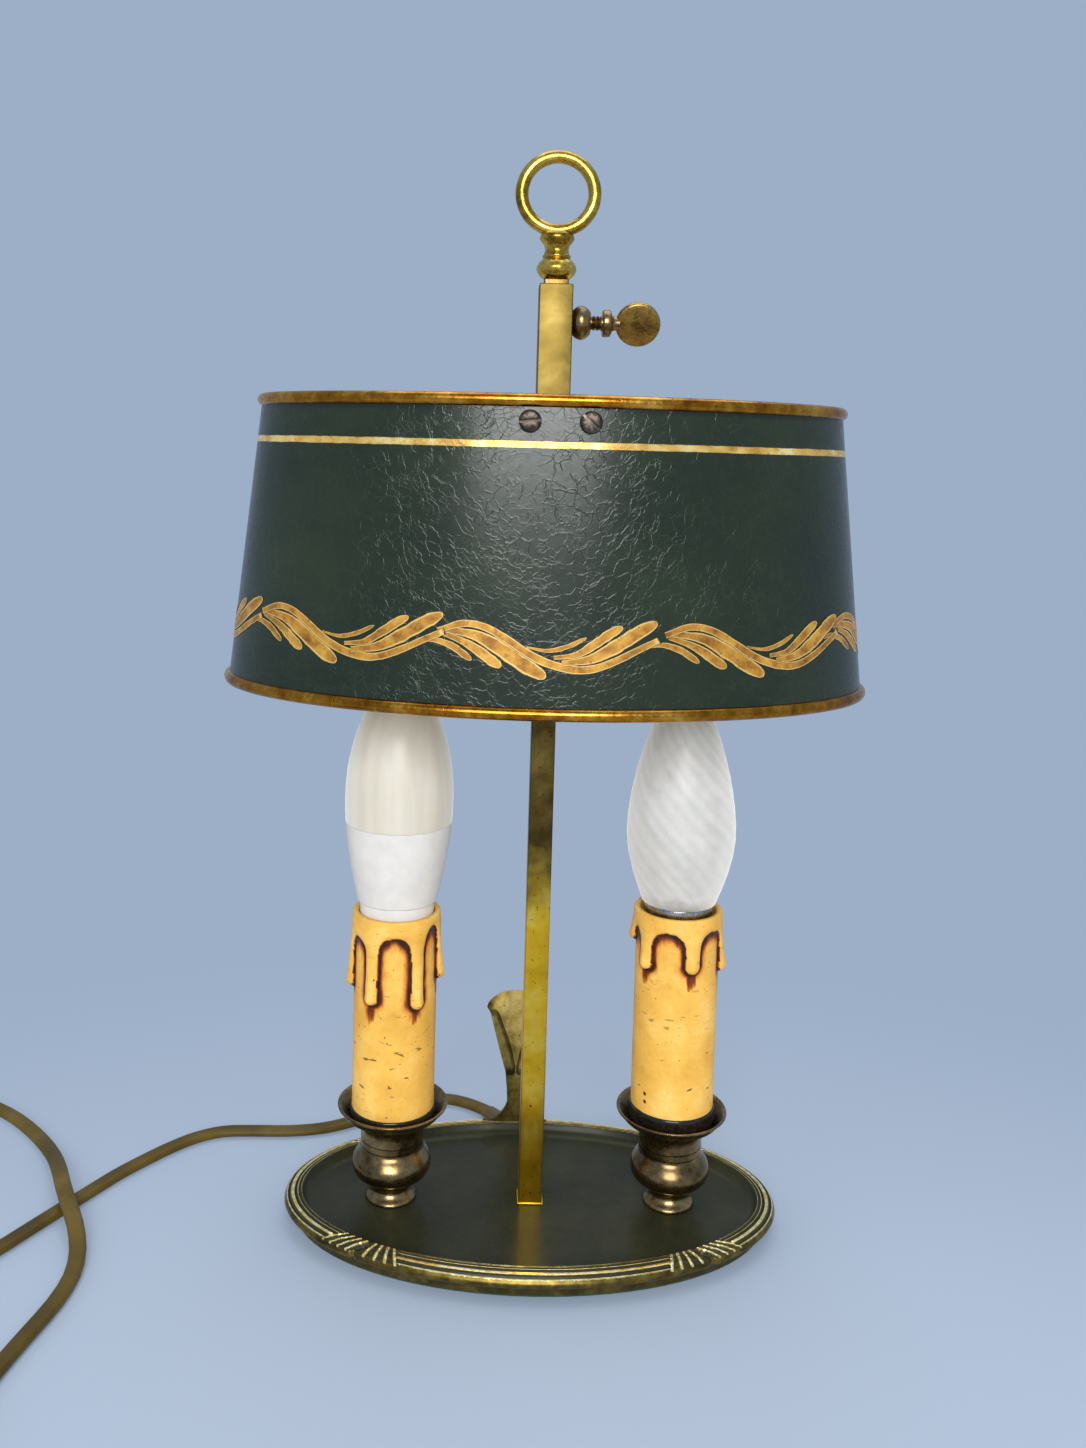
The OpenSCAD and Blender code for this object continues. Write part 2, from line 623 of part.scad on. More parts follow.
module flame_mount() {
    color("#c8ccd0") translate([0, 0, flame_z - 3 + gap]) {
        rotate_extrude() polygon([[0, 0], [8, 0], [7, 2.5], [2.5, 9], [2, 22], [0, 22]]);
        for (side = [-1, 1]) translate([side*3.2, 0, 5]) cylinder(r = 0.4, h = 32, $fn = 16);
        translate([-3.2, 0, 36.6]) rotate([0, 90, 0]) cylinder(r = 0.5, h = 6.4, $fn = 16);
    }
}

// ---- Slide and shade ----

module slide_tube() {
    color("#9c8640") difference() {
        translate([-tube_w/2, -tube_w/2, tube_z]) cube([tube_w, tube_w, tube_len]);
        translate([-tube_bore/2, -tube_bore/2, tube_z - 1]) cube([tube_bore, tube_bore, tube_len + 2]);
        translate([0, 0, thumb_z]) rotate([0, 90, 0]) cylinder(r = thumb_bore, h = tube_w);
    }
}

module screw_boss() {
    half = boss_len/2;
    bead = min(half + 0.4, boss_r - thumb_bore - 0.8);
    color("#6d5236") translate([tube_face + gap, 0, thumb_z]) difference() {
        turned_x(concat([[0, 0], [boss_r - 1.8, 0], [boss_r - 1.6, 0.5]],
            arc(boss_r - bead, half, bead, -52, 52), [[boss_r - 1.6, boss_len - gap - 0.5],
            [boss_r - 2, boss_len - gap], [0, boss_len - gap]]));
        translate([-1, 0, 0]) rotate([0, 90, 0]) cylinder(r = thumb_bore, h = boss_len + 2);
    }
}

// A piece that stands on the shade's front wall, and its copy on the back wall
module on_both_walls() {
    for (turn = [0, 180]) rotate([0, 0, turn]) children();
}

// Places a piece at the shade screw: local +Z points inwards along the screw
module at_shade_screw(side, y) {
    translate([side*shade_screw_gap/2, 0, shade_screw_z]) translate([0, -y, 0])
        rotate([-90 - wall_tilt, 0, 0]) children();
}

module shade_bracket() {
    seat = tube_w/2 + gap;
    color("#8d7a3c") difference() {
        union() {
            translate([-bar_w/2, -tab_y + tab_t - 0.4, bar_z]) cube([bar_w, 2*(tab_y - tab_t + 0.4), bar_t]);
            translate([-tube_w/2 - 3.5, -tube_w/2 - 3.5, bar_z]) cube([tube_w + 7, tube_w + 7, bar_t]);
            on_both_walls() translate([0, -tab_y, shade_screw_z]) rotate([-wall_tilt, 0, 0])
                translate([-tab_w/2, 0, -tab_h/2]) cube([tab_w, tab_t, tab_h/2 + tab_up]);
        }
        translate([-seat, -seat, bar_z - 1]) cube([2*seat, 2*seat, bar_t + 2]);
        on_both_walls() for (side = [-1, 1]) at_shade_screw(side, head_y)
            translate([0, 0, -4]) cylinder(r = shank_r + clear, h = 20);
    }
}

function shade_wall(off, z) = let (u = (z - shade_z)/shade_h)
    [a_low + (a_high - a_low)*u + off, b_low + (b_high - b_low)*u + off, z];

module shade_shell() {
    low = shade_z + rim_r - slot_depth + gap;
    high = shade_top_z - rim_r + slot_depth - gap;
    color("#2f3d34") difference() {
        oval_loop([shade_wall(-shade_t/2, high), shade_wall(shade_t/2, high),
            shade_wall(shade_t/2, low), shade_wall(-shade_t/2, low)]);
        on_both_walls() for (side = [-1, 1]) at_shade_screw(side, head_y)
            translate([0, 0, -4]) cylinder(r = shank_r + clear, h = 20);
    }
}

// Rolled rim: a round bar with a slot for the edge of the sheet
module rim(a, b, z, up) {
    corner = asin(slot_half/rim_r);
    steps = 8;
    loop = concat([for (i = [0:steps]) let (t = 90 + corner + (360 - 2*corner)*i/steps)
        [rim_r*cos(t), rim_r*sin(t)]],
        [[slot_half, rim_r - slot_depth], [-slot_half, rim_r - slot_depth]]);
    flip = [for (i = [len(loop)-1:-1:0]) [loop[i][0], -loop[i][1]]];
    section = up ? loop : flip;
    oval_loop([for (i = [len(section)-1:-1:0]) [a + section[i][0], b + section[i][0], z + section[i][1]]]);
}
module shade_bottom_rim() {
    color("#b9862f") rim(a_low, b_low, shade_z, true);
}
module shade_top_rim() {
    color("#b9862f") rim(a_high, b_high, shade_top_z, false);
}

module shade_screws() {
    slot_turns = [[-5, 42], [12, 70]];
    color("#5f5344") for (w = [0, 1]) rotate([0, 0, 180*w]) for (s = [0, 1])
        at_shade_screw(2*s - 1, head_y) difference() {
            union() {
                translate([0, 0, -head_h]) rotate_extrude() polygon([[0, 0], [head_r - 0.9, 0.1],
                    [head_r - 0.2, 0.5], [head_r, 1], [head_r, head_h], [0, head_h]]);
                cylinder(r = shank_r, h = shank_len);
            }
            rotate([0, 0, slot_turns[w][s]]) translate([-head_r - 1, -0.45, -head_h - 1])
                cube([2*head_r + 2, 0.9, 1.9]);
        }
}

module shade_nuts() {
    start = head_y - tab_y + tab_t + 0.35;
    color("#9a8f6a") on_both_walls() for (side = [-1, 1]) at_shade_screw(side, head_y)
        translate([0, 0, start]) hex_nut(shade_nut_af, shank_r + gap, shade_nut_h);
}

module pressure_pad() {
    color("#8a5a3a") translate([pad_x, 0, thumb_z]) rotate([0, 90, 0]) cylinder(r = thumb_r - 0.1, h = pad_t);
}

module thumb_screw() {
    neck = collar_x + 3;
    ring_step = (collar_x - boss_end)/grooves;
    color("#6d5236") translate([0, 0, thumb_z]) {
        turned_x(concat([[0, tip_x], [thumb_r, tip_x], [thumb_r, boss_end + 0.2]],
            [for (i = [0:grooves-1]) each [[thumb_r - 0.4, boss_end + 0.2 + (i + 0.35)*ring_step*0.9],
                [thumb_r, boss_end + 0.2 + (i + 0.8)*ring_step*0.9]]],
            [[thumb_r, collar_x], [4.2, collar_x + 0.2], [4.4, collar_x + 0.8],
             [4.4, neck - 0.9], [3.6, neck], [2.3, neck + 0.6], [2.2, disc_x - disc_r + 1.2],
             [0, disc_x - disc_r + 1.2]]));
        translate([disc_x, 0, 0]) rotate([disc_turn, 0, 0]) rotate([90, 0, 0])
            translate([0, 0, -disc_t/2]) rotate_extrude() polygon([[0, 0.3], [disc_r - 2, 0.3],
                [disc_r - 0.8, 0], [disc_r, 0.7], [disc_r, disc_t - 0.7], [disc_r - 0.8, disc_t],
                [disc_r - 2, disc_t - 0.3], [0, disc_t - 0.3]]);
    }
}

// ---- Wiring under the tray ----

block_size = [12, 8, 2.7];
block_y = 20;
pole_gap = 3.6;

module wire(from, to) {
    v = to - from;
    translate(from) rotate([0, acos(v[2]/norm(v)), atan2(v[1], v[0])])
        cylinder(r = wire_r, h = norm(v), $fn = 16);
    translate(to) sphere(r = wire_r + 0.04, $fn = 16);
}

module leads(side) {
    top = holder_z + 33 - gap;
    color("#7a2f22") for (k = [-1, 1]) {
        x = side*candle_gap/2 + k*1.3;
        end = [side*(block_size[0]/2 + gap), block_y + side*k*pole_gap/2, wire_z];
        wire([x, 0, top], [x, 0, wire_z]);
        wire([x, 0, wire_z], end + [side*wire_r, 0, 0]);
    }
}

// Flat two-pole block, open to the cord's cores at the back and to the leads at both ends
module terminal_block() {
    color("#dcd8cc") translate([-block_size[0]/2, block_y - block_size[1]/2, felt_t + gap]) difference() {
        cube(block_size);
        for (k = [-1, 1]) translate([block_size[0]/2 + k*pole_gap, block_size[1]/2, block_size[2] - 1.2])
            cylinder(r = 1.1, h = 4);
    }
}

module flex_cores() {
    into = block_y + block_size[1]/2 + gap + wire_r;
    color("#3b5a8a") for (k = [-1, 1])
        wire([2.6 + k*1.4, cord_out[1] - 9.6, wire_z], [k*pole_gap/2, into, wire_z]);
}

// ---- Cord ----

bush_len = 20;
module cord_bush() {
    flange = [1.2, 9.2, 3];
    color("#3a3526") {
        translate(cord_out) rotate([0, 0, cord_heading]) {
            translate([-8.2, -4.1, felt_t + gap - cord_out[2]]) cube([9.2, 8.2, 3.5]);
            translate([-9.4, -flange[1]/2, felt_t + gap - cord_out[2]]) cube(flange);
        }
        steps = 5;
        ends = [cord_out, run_in[0]];
        cord_sweep([for (i = [0:steps]) ends[0] + (ends[1] - ends[0])*i/steps],
            [for (i = [0:steps]) 8.8 - 2*i/steps], [for (i = [0:steps]) 4.9 - 1.1*i/steps]);
    }
}

module cord_run_in() {
    color("#7a6a2c") cord_sweep(smooth(run_in), cord_w, cord_t, 10);
}
module cord_run_out() {
    color("#7a6a2c") cord_sweep(smooth(run_out), cord_w, cord_t, 10);
}
module cord_tail() {
    color("#7a6a2c") cord_sweep(tail, cord_w, cord_t, 10);
}
module cord_coil() {
    wide = coil_turns*turn_step;
    tall = coil_layers*(cord_t + 0.1);
    round_r = 1.2;
    color("#7a6a2c") translate([coil_at[0], coil_at[1], 0]) rotate_extrude() translate([coil_r - wide/2, 0])
        polygon(concat(arc(wide - round_r, round_r, round_r, -90, 0, 3),
            arc(wide - round_r, tall - round_r, round_r, 0, 90, 3),
            arc(round_r, tall - round_r, round_r, 90, 180, 3), arc(round_r, round_r, round_r, 180, 270, 3)));
}

// ---- Cord switch: its length lies along Y ----

seam_z = switch_h/2;
rocker_len = 17;
rocker_w = 9.4;
rocker_z = switch_h - 3.2;
module switch_shape(x, y, r) {
    for (sx = [-1, 1], sy = [-1, 1]) translate([sx*(x/2 - r), sy*(y/2 - r)]) circle(r = r, $fn = 32);
    square([x - 2*r, y], center = true);
    square([x, y - 2*r], center = true);
}
module at_switch() {
    translate([switch_at[0], switch_at[1], 0]) children();
}
module switch_half(z, h, cavity_z) {
    difference() {
        translate([0, 0, z]) linear_extrude(h) switch_shape(switch_w, switch_len, 5);
        translate([0, 0, cavity_z]) linear_extrude(h - 1.8 + gap)
            switch_shape(switch_w - 4, switch_len - 5, 3);
        translate([0, switch_len, run_out[0][2]]) rotate([90, 0, 0])
            cylinder(r = cord_w/2 + 0.2, h = 2*switch_len);
    }
}
module switch_base() {
    color("#5a4a22") at_switch() switch_half(0, seam_z, 1.8);
}
module switch_cover() {
    color("#5a4a22") at_switch() difference() {
        switch_half(seam_z + gap, switch_h - seam_z - gap, seam_z);
        translate([-rocker_w/2 - 0.4, -rocker_len/2 - 0.6, 0]) cube([rocker_w + 0.8, rocker_len + 1.2, 40]);
        translate([-rocker_w/2 - 2, 0, rocker_z]) rotate([0, 90, 0]) cylinder(r = 1.3, h = rocker_w + 4);
    }
}
module switch_rocker() {
    low = 3.4;
    color("#2e2614") at_switch() translate([0, 0, rocker_z]) rotate([rocker_tip, 0, 0]) {
        intersection() {
            translate([-rocker_w/2, -rocker_len/2, -low]) cube([rocker_w, rocker_len, low + 5]);
            translate([-rocker_w/2 - 1, 0, 17]) rotate([0, 90, 0]) difference() {
                cylinder(r = 30, h = rocker_w + 2);
                translate([0, 0, -1]) cylinder(r = 12.2, h = rocker_w + 4);
            }
            rotate([0, 90, 0]) cylinder(r = rocker_len/2 + 0.3, h = 40, center = true);
        }
        translate([-rocker_w/2 - 1.6, 0, 0]) rotate([0, 90, 0]) cylinder(r = 1.2, h = rocker_w + 3.2);
    }
}
module switch_terminals() {
    color("#c7a44a") at_switch() for (end = [-1, 1]) translate([4, end*15, 1.8 + gap]) difference() {
        translate([-2.2, -4, 0]) cube([4.4, 8, 5.2]);
        translate([0, -5, 2.6]) rotate([-90, 0, 0]) cylinder(r = 1.2, h = 10);
    }
}

// ---- Plug: its pins point along +X before it is turned ----

pin_root = 6; // how deep a pin stands in the plug
pin_root_r = pin_r - 0.4;

module at_plug() {
    start = tail[len(tail) - 1];
    translate([start[0], start[1], plug_h/2]) rotate([0, 0, plug_turn]) translate([gap, 0, 0]) children();
}
module plug_body() {
    tail_len = 9;
    color("#6a5a26") at_plug() difference() {
        union() {
            translate([tail_len, 0, -plug_h/2]) linear_extrude(plug_h)
                translate([(plug_len - tail_len)/2, 0]) switch_shape(plug_len - tail_len, plug_w, 4);
            translate([0, 0, -plug_h/2]) linear_extrude(plug_h*0.62)
                polygon([[0, -5], [tail_len + 2, -7.5], [tail_len + 2, 7.5], [0, 5]]);
        }
        for (side = [-1, 1]) translate([plug_len - pin_root, side*pin_gap/2, 0]) rotate([0, 90, 0])
            cylinder(r = pin_root_r + gap, h = pin_root + 1);
    }
}
module plug_pins() {
    color("#c9b36a") at_plug() for (side = [-1, 1])
        translate([plug_len - pin_root + gap, side*pin_gap/2, 0]) rotate([0, 90, 0]) rotate_extrude()
            polygon([[0, 0], [pin_root_r, 0], [pin_root_r, pin_root], [pin_r, pin_root],
                [pin_r, pin_root + pin_len - 1],
                [pin_r - 1, pin_root + pin_len], [0, pin_root + pin_len]]);
}

base_tray();
thumb_leaf();
felt_pad();
stem_bar();
stem_screw();
ring_finial();
place_candle(-1) candle_cup();  // candle_cup_left
place_candle(1) candle_cup();  // candle_cup_right
place_candle(-1) drip_pan();  // drip_pan_left
place_candle(1) drip_pan();  // drip_pan_right
place_candle(-1) seat_ring(seat_left_h);  // seat_ring_left
place_candle(1) seat_ring(seat_right_h);  // seat_ring_right
place_candle(-1) nipple();  // nipple_left
place_candle(1) nipple();  // nipple_right
place_candle(-1) nipple_nut();  // nipple_nut_left
place_candle(1) nipple_nut();  // nipple_nut_right
place_candle(-1) holder_nut(seat_left_h);  // holder_nut_left
place_candle(1) holder_nut(seat_right_h);  // holder_nut_right
place_candle(-1) lamp_holder();  // lamp_holder_left
place_candle(1) lamp_holder();  // lamp_holder_right
place_candle(-1) holder_contact();  // holder_contact_left
place_candle(1) holder_contact();  // holder_contact_right
place_candle(-1) candle_sleeve(pan_floor + seat_left_h, left_drips);  // candle_sleeve_left
place_candle(1) candle_sleeve(pan_floor + seat_right_h, right_drips);  // candle_sleeve_right
place_candle(-1) led_cap();
place_candle(-1) led_collar();
place_candle(-1) led_housing();
place_candle(-1) led_board();
place_candle(-1) led_diffuser();
place_candle(1) flame_cap();
place_candle(1) flame_mount();
place_candle(1) flame_glass();
slide_tube();
screw_boss();
shade_bracket();
shade_shell();
shade_top_rim();
shade_bottom_rim();
shade_screws();
shade_nuts();
pressure_pad();
thumb_screw();
leads(-1);  // leads_left
leads(1);  // leads_right
terminal_block();
flex_cores();
cord_bush();
cord_run_in();
cord_run_out();
cord_coil();
cord_tail();
switch_base();
switch_cover();
switch_rocker();
switch_terminals();
plug_body();
plug_pins();
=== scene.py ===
# Bouillotte lamp: an oval tray, a square stem with two candle lights, and a lacquered
# shade that slides on the stem. Lengths are written in millimetres and multiplied by mm.
import math
from functools import partial

import bpy
from mathutils import Matrix, Vector, noise


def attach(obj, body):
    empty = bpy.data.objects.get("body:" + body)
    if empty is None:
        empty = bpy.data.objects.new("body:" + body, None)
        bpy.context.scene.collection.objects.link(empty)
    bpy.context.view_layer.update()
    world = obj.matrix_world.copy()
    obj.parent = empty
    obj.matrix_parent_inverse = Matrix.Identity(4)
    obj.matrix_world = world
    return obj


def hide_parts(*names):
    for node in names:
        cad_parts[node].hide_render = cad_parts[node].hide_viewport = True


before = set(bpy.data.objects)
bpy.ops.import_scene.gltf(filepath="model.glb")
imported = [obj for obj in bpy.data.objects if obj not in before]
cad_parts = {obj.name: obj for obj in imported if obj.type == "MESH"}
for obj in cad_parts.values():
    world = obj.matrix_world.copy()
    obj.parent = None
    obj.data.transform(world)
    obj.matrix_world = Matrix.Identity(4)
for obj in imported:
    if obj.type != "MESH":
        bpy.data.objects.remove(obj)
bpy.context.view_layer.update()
mm = 0.001


# Small tools

def startClean():  # nothing is selected or in edit mode before a new piece
    if bpy.context.mode != "OBJECT":
        bpy.ops.object.mode_set(mode="OBJECT")
    bpy.ops.object.select_all(action="DESELECT")


def editAll():
    bpy.ops.object.mode_set(mode="EDIT")
    bpy.ops.mesh.select_all(action="SELECT")


def objectMode():
    bpy.ops.object.mode_set(mode="OBJECT")


def choose(obj):
    startClean()
    obj.select_set(True)
    bpy.context.view_layer.objects.active = obj
    return obj


def applyAll(obj):
    choose(obj)
    for modifier in list(obj.modifiers):
        bpy.ops.object.modifier_apply(modifier=modifier.name)


def tidyMesh(obj, reach=1e-6):  # doubles go first, then the faces are turned outwards
    choose(obj)
    editAll()
    bpy.ops.mesh.remove_doubles(threshold=reach)
    bpy.ops.mesh.normals_make_consistent(inside=False)
    objectMode()


def roundEdges(obj, width, segments=3, angle=30):
    bevel = obj.modifiers.new("edges", "BEVEL")
    bevel.width = width * mm
    bevel.segments = segments
    bevel.limit_method = "ANGLE"
    bevel.angle_limit = math.radians(angle)
    applyAll(obj)


def carve(obj, cutter):  # cuts one shape out of another and puts the cutter away
    cut = obj.modifiers.new("carve", "BOOLEAN")
    cut.operation = "DIFFERENCE"
    cut.object = cutter
    applyAll(obj)
    bpy.data.objects.remove(cutter)


def joined(parts, name):
    choose(parts[0])
    for part in parts[1:]:
        part.select_set(True)
    if len(parts) > 1:
        bpy.ops.object.join()
    parts[0].name = name
    return parts[0]


def finishPiece(obj, material, body, nodes=(), smooth=35):
    choose(obj)
    bpy.ops.object.transform_apply(location=True, rotation=True, scale=True)
    bpy.ops.object.shade_smooth_by_angle(angle=math.radians(smooth))
    if material is not None:
        obj.data.materials.clear()
        obj.data.materials.append(material)
    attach(obj, body)
    if nodes:
        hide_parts(*nodes)
    return obj


def paintNode(nodeName, material):  # a CAD node keeps its shape and gets its finish
    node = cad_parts[nodeName]
    if not node.material_slots:
        node.data.materials.append(material)
    for slot in node.material_slots:
        slot.material = material


def copyNode(nodeName, name, edge, segments=2):  # a copy of a node's mesh with eased edges
    startClean()
    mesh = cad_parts[nodeName].data.copy()
    obj = bpy.data.objects.new(name, mesh)
    bpy.context.scene.collection.objects.link(obj)
    choose(obj)
    editAll()
    bpy.ops.mesh.remove_doubles(threshold=1e-6)
    bpy.ops.mesh.dissolve_limited(angle_limit=math.radians(1))
    objectMode()
    roundEdges(obj, edge, segments)
    return obj


def flow(points, steps=4):  # a smooth line through the points; a point given twice is a corner
    line = [Vector(points[0])]
    for i in range(len(points) - 1):
        near, far = Vector(points[i]), Vector(points[i + 1])
        span = (far - near).length
        if span < 1e-9:
            continue
        before = Vector(points[i - 1]) if i > 0 else near
        after = Vector(points[i + 2]) if i + 2 < len(points) else far
        leave = (far - before) * (span / ((near - before).length + span))
        arrive = (after - near) * (span / ((after - far).length + span))
        for k in range(1, steps + 1):
            u = k / steps
            line.append(near * (2*u**3 - 3*u**2 + 1) + leave * (u**3 - 2*u**2 + u)
                        + far * (3*u**2 - 2*u**3) + arrive * (u**3 - u**2))
    return line


def spun(name, profile, centre, steps=96, out=(1, 0, 0), along=(0, 0, 1)):
    # One corner of the profile is drawn out to the next, and the line is spun round its axis
    startClean()
    out, along, middle = Vector(out), Vector(along), Vector(centre) * mm
    spots = [middle + (out * p[0] + along * p[1]) * mm for p in profile]
    bpy.ops.mesh.primitive_plane_add(size=mm, location=spots[0])
    obj = bpy.context.object
    obj.name = name
    editAll()
    bpy.ops.mesh.merge(type="CENTER")
    for last, spot in zip(spots, spots[1:]):
        bpy.ops.mesh.extrude_vertices_move(TRANSFORM_OT_translate={"value": spot - last})
    bpy.ops.mesh.select_all(action="SELECT")
    bpy.ops.mesh.spin(steps=steps, angle=2*math.pi, center=middle, axis=along)
    objectMode()
    choose(obj)
    bpy.ops.object.transform_apply(location=True, rotation=True, scale=True)
    tidyMesh(obj)
    return obj


def ovalStack(name, rings, corners):
    # An oval face is drawn out and resized ring by ring; each ring is (half length, half width, z)
    startClean()
    first = rings[0]
    bpy.ops.mesh.primitive_circle_add(vertices=corners, radius=mm, fill_type="NGON",
                                      location=(0, 0, first[2] * mm))
    obj = bpy.context.object
    obj.name = name
    obj.scale = (first[0], first[1], 1)
    bpy.ops.object.transform_apply(location=True, rotation=True, scale=True)
    bpy.ops.object.mode_set(mode="EDIT")
    bpy.ops.mesh.select_mode(type="FACE")
    bpy.ops.mesh.select_all(action="SELECT")
    for last, ring in zip(rings, rings[1:]):
        bpy.ops.mesh.extrude_region_move(
            TRANSFORM_OT_translate={"value": (0, 0, (ring[2] - last[2]) * mm)})
        bpy.ops.transform.resize(value=(ring[0] / last[0], ring[1] / last[1], 1),
                                 center_override=(0, 0, ring[2] * mm))
    bpy.ops.mesh.select_mode(type="VERT")
    objectMode()
    tidyMesh(obj)
    return obj


def setAttribute(obj, name, values):
    attribute = obj.data.attributes.new(name, "FLOAT", "POINT")
    attribute.data.foreach_set("value", values)


def ease(low, high, value):  # 0 below low, 1 above high, smooth between
    u = min(1, max(0, (value - low) / (high - low)))
    return u * u * (3 - 2*u)


# Tools for materials

def shown(code):  # a colour as a screen shows it, as the linear values that a shader takes
    parts = [int(code[i:i + 2], 16) / 255 for i in (1, 3, 5)]
    return tuple(c / 12.92 if c <= 0.04045 else ((c + 0.055) / 1.055)**2.4 for c in parts) + (1,)


def addNode(tree, kind, inputs=(), out=0, stops=(), **settings):
    # Inputs are plain values or other nodes' outputs: a list in socket order, or socket names or numbers.
    # What comes back is one output of the new node, or the node itself where out is None
    node = tree.nodes.new("ShaderNode" + kind)
    for key, value in settings.items():
        setattr(node, key, value)
    for key, value in inputs.items() if isinstance(inputs, dict) else enumerate(inputs):
        if isinstance(value, bpy.types.NodeSocket):
            tree.links.new(value, node.inputs[key])
        else:
            node.inputs[key].default_value = value
    if stops:  # the places and colours of a colour ramp
        elements = node.color_ramp.elements
        while len(elements) < len(stops):
            elements.new(0.5)
        for element, (spot, colour) in zip(elements, stops):
            element.position = spot
        for element, (spot, colour) in zip(elements, stops):
            element.color = shown(colour)
    return node if out is None else node.outputs[out]


def newFinish(name, **sockets):
    # A material, what adds nodes to it, its shader and its object coordinates. A noise texture whose
    # scale is written 1000/12 has clouds about 12 mm wide
    material = bpy.data.materials.new(name)
    material.use_nodes = True
    add = partial(addNode, material.node_tree)
    shader = material.node_tree.nodes["Principled BSDF"]
    for key, value in sockets.items():
        shader.inputs[key.replace("_", " ")].default_value = value
    return material, add, shader, add("TexCoord", out="Object")


def plug(shader, **sockets):
    for key, value in sockets.items():
        shader.id_data.links.new(value, shader.inputs[key.replace("_", " ")])


# Camera, stage and light

view = {"place": (-19.6, -424.2, 258.7), "turn": -0.58, "tilt": 86.42, "roll": 1.53, "lens": 31.87,
        "lift": -0.13, "slide": 0.028}
stage = {"near": "#a9bad3", "far": "#9dafc7", "bounce": "#c8c4bc", "room": "#ebe6dd", "roomLight": 0.62,
         "farLight": 0.5, "fadeFrom": 0.35, "fadeStart": 0.25, "fadeEnd": 0.6, "radius": 6, "drop": 0.0003}
lamps = [  # place, point it faces, width, height, watts; the side panels give no mirror image
    ("keyPanel", (-0.07, -1.5, 0.8), (0, 0, 0.2), 0.85, 0.78, 22),
    ("rightPanel", (1.5, -0.7, 0.65), (0, 0, 0.15), 2.0, 1.7, 5),
    ("leftPanel", (-1.5, -0.7, 0.5), (0, 0, 0.15), 1.7, 1.4, 6),
    ("topPanel", (0.1, 0.35, 1.5), (0, 0, 0.1), 1.2, 1.2, 7),
]


def makeCamera():
    data = bpy.data.cameras.new("camera")
    data.lens = view["lens"]
    data.sensor_width = 36
    data.shift_x = view["slide"]
    data.shift_y = view["lift"]
    camera = bpy.data.objects.new("camera", data)
    bpy.context.scene.collection.objects.link(camera)
    turn = Matrix.Rotation(math.radians(view["turn"]), 4, "Z")
    tilt = Matrix.Rotation(math.radians(view["tilt"]), 4, "X")
    roll = Matrix.Rotation(math.radians(view["roll"]), 4, "Z")
    camera.matrix_world = Matrix.Translation(Vector(view["place"]) * mm) @ turn @ tilt @ roll
    bpy.context.scene.camera = camera


def seenRays(tree):  # 1 for what the camera, metal and glass see of the background
    rays = addNode(tree, "LightPath", out=None).outputs
    either = addNode(tree, "Math", [rays["Is Camera Ray"], rays["Is Glossy Ray"]], operation="MAXIMUM")
    return addNode(tree, "Math", [either, rays["Is Transmission Ray"]], operation="MAXIMUM")


def makeStage():
    scene = bpy.context.scene
    scene.view_settings.view_transform = "Standard"
    world = bpy.data.worlds.new("studio")
    scene.world = world
    world.use_nodes = True
    world.node_tree.nodes.clear()
    add = partial(addNode, world.node_tree)
    wall = add("Background", {"Color": shown(stage["far"]), "Strength": 1.0})
    soft = add("Background", {"Color": shown(stage["room"]), "Strength": stage["roomLight"]})
    both = add("MixShader", [seenRays(world.node_tree), soft, wall])
    add("OutputWorld", [both], None)

    startClean()
    bpy.ops.mesh.primitive_circle_add(vertices=96, radius=stage["radius"], fill_type="NGON",
                                      location=(0, 0, -stage["drop"]))
    floor = bpy.context.object
    floor.name = "floor"
    material = bpy.data.materials.new("floorPaper")
    material.use_nodes = True
    material.node_tree.nodes.clear()
    add = partial(addNode, material.node_tree)
    seen = partial(seenRays, material.node_tree)
    place = add("TexCoord", out="Object")
    place = add("Mapping", {"Vector": place, "Location": (0, stage["fadeFrom"], 0)})
    away = add("VectorMath", [place], "Value", operation="LENGTH")
    fade = add("MapRange", [away, stage["fadeStart"], stage["fadeEnd"]], interpolation_type="SMOOTHSTEP")
    sheet = add("Mix", {0: seen(), 6: shown(stage["bounce"]), 7: shown(stage["near"])}, 2,
                data_type="RGBA")
    paper = add("BsdfDiffuse", {"Color": sheet})
    glow = add("Emission", {"Color": shown(stage["far"]), "Strength": 1.0})
    dim = add("Emission", {"Color": shown(stage["far"]), "Strength": stage["farLight"]})
    distance = add("MixShader", [seen(), dim, glow])
    both = add("MixShader", [fade, paper, distance])
    add("OutputMaterial", [both], None)
    floor.data.materials.append(material)


def makeLamps():
    for name, place, target, wide, tall, watts in lamps:
        data = bpy.data.lights.new(name, "AREA")
        data.shape = "RECTANGLE"
        data.size, data.size_y, data.energy = wide, tall, watts
        lamp = bpy.data.objects.new(name, data)
        bpy.context.scene.collection.objects.link(lamp)
        lamp.location = place
        lamp.visible_glossy = name in ("keyPanel", "topPanel")
        lamp.rotation_euler = (Vector(target) - Vector(place)).to_track_quat("-Z", "Y").to_euler()


makeCamera()
makeStage()
makeLamps()
print("camera, stage and lamps are set")


# Cord: two lengths of flat twin flex with a hand switch between them

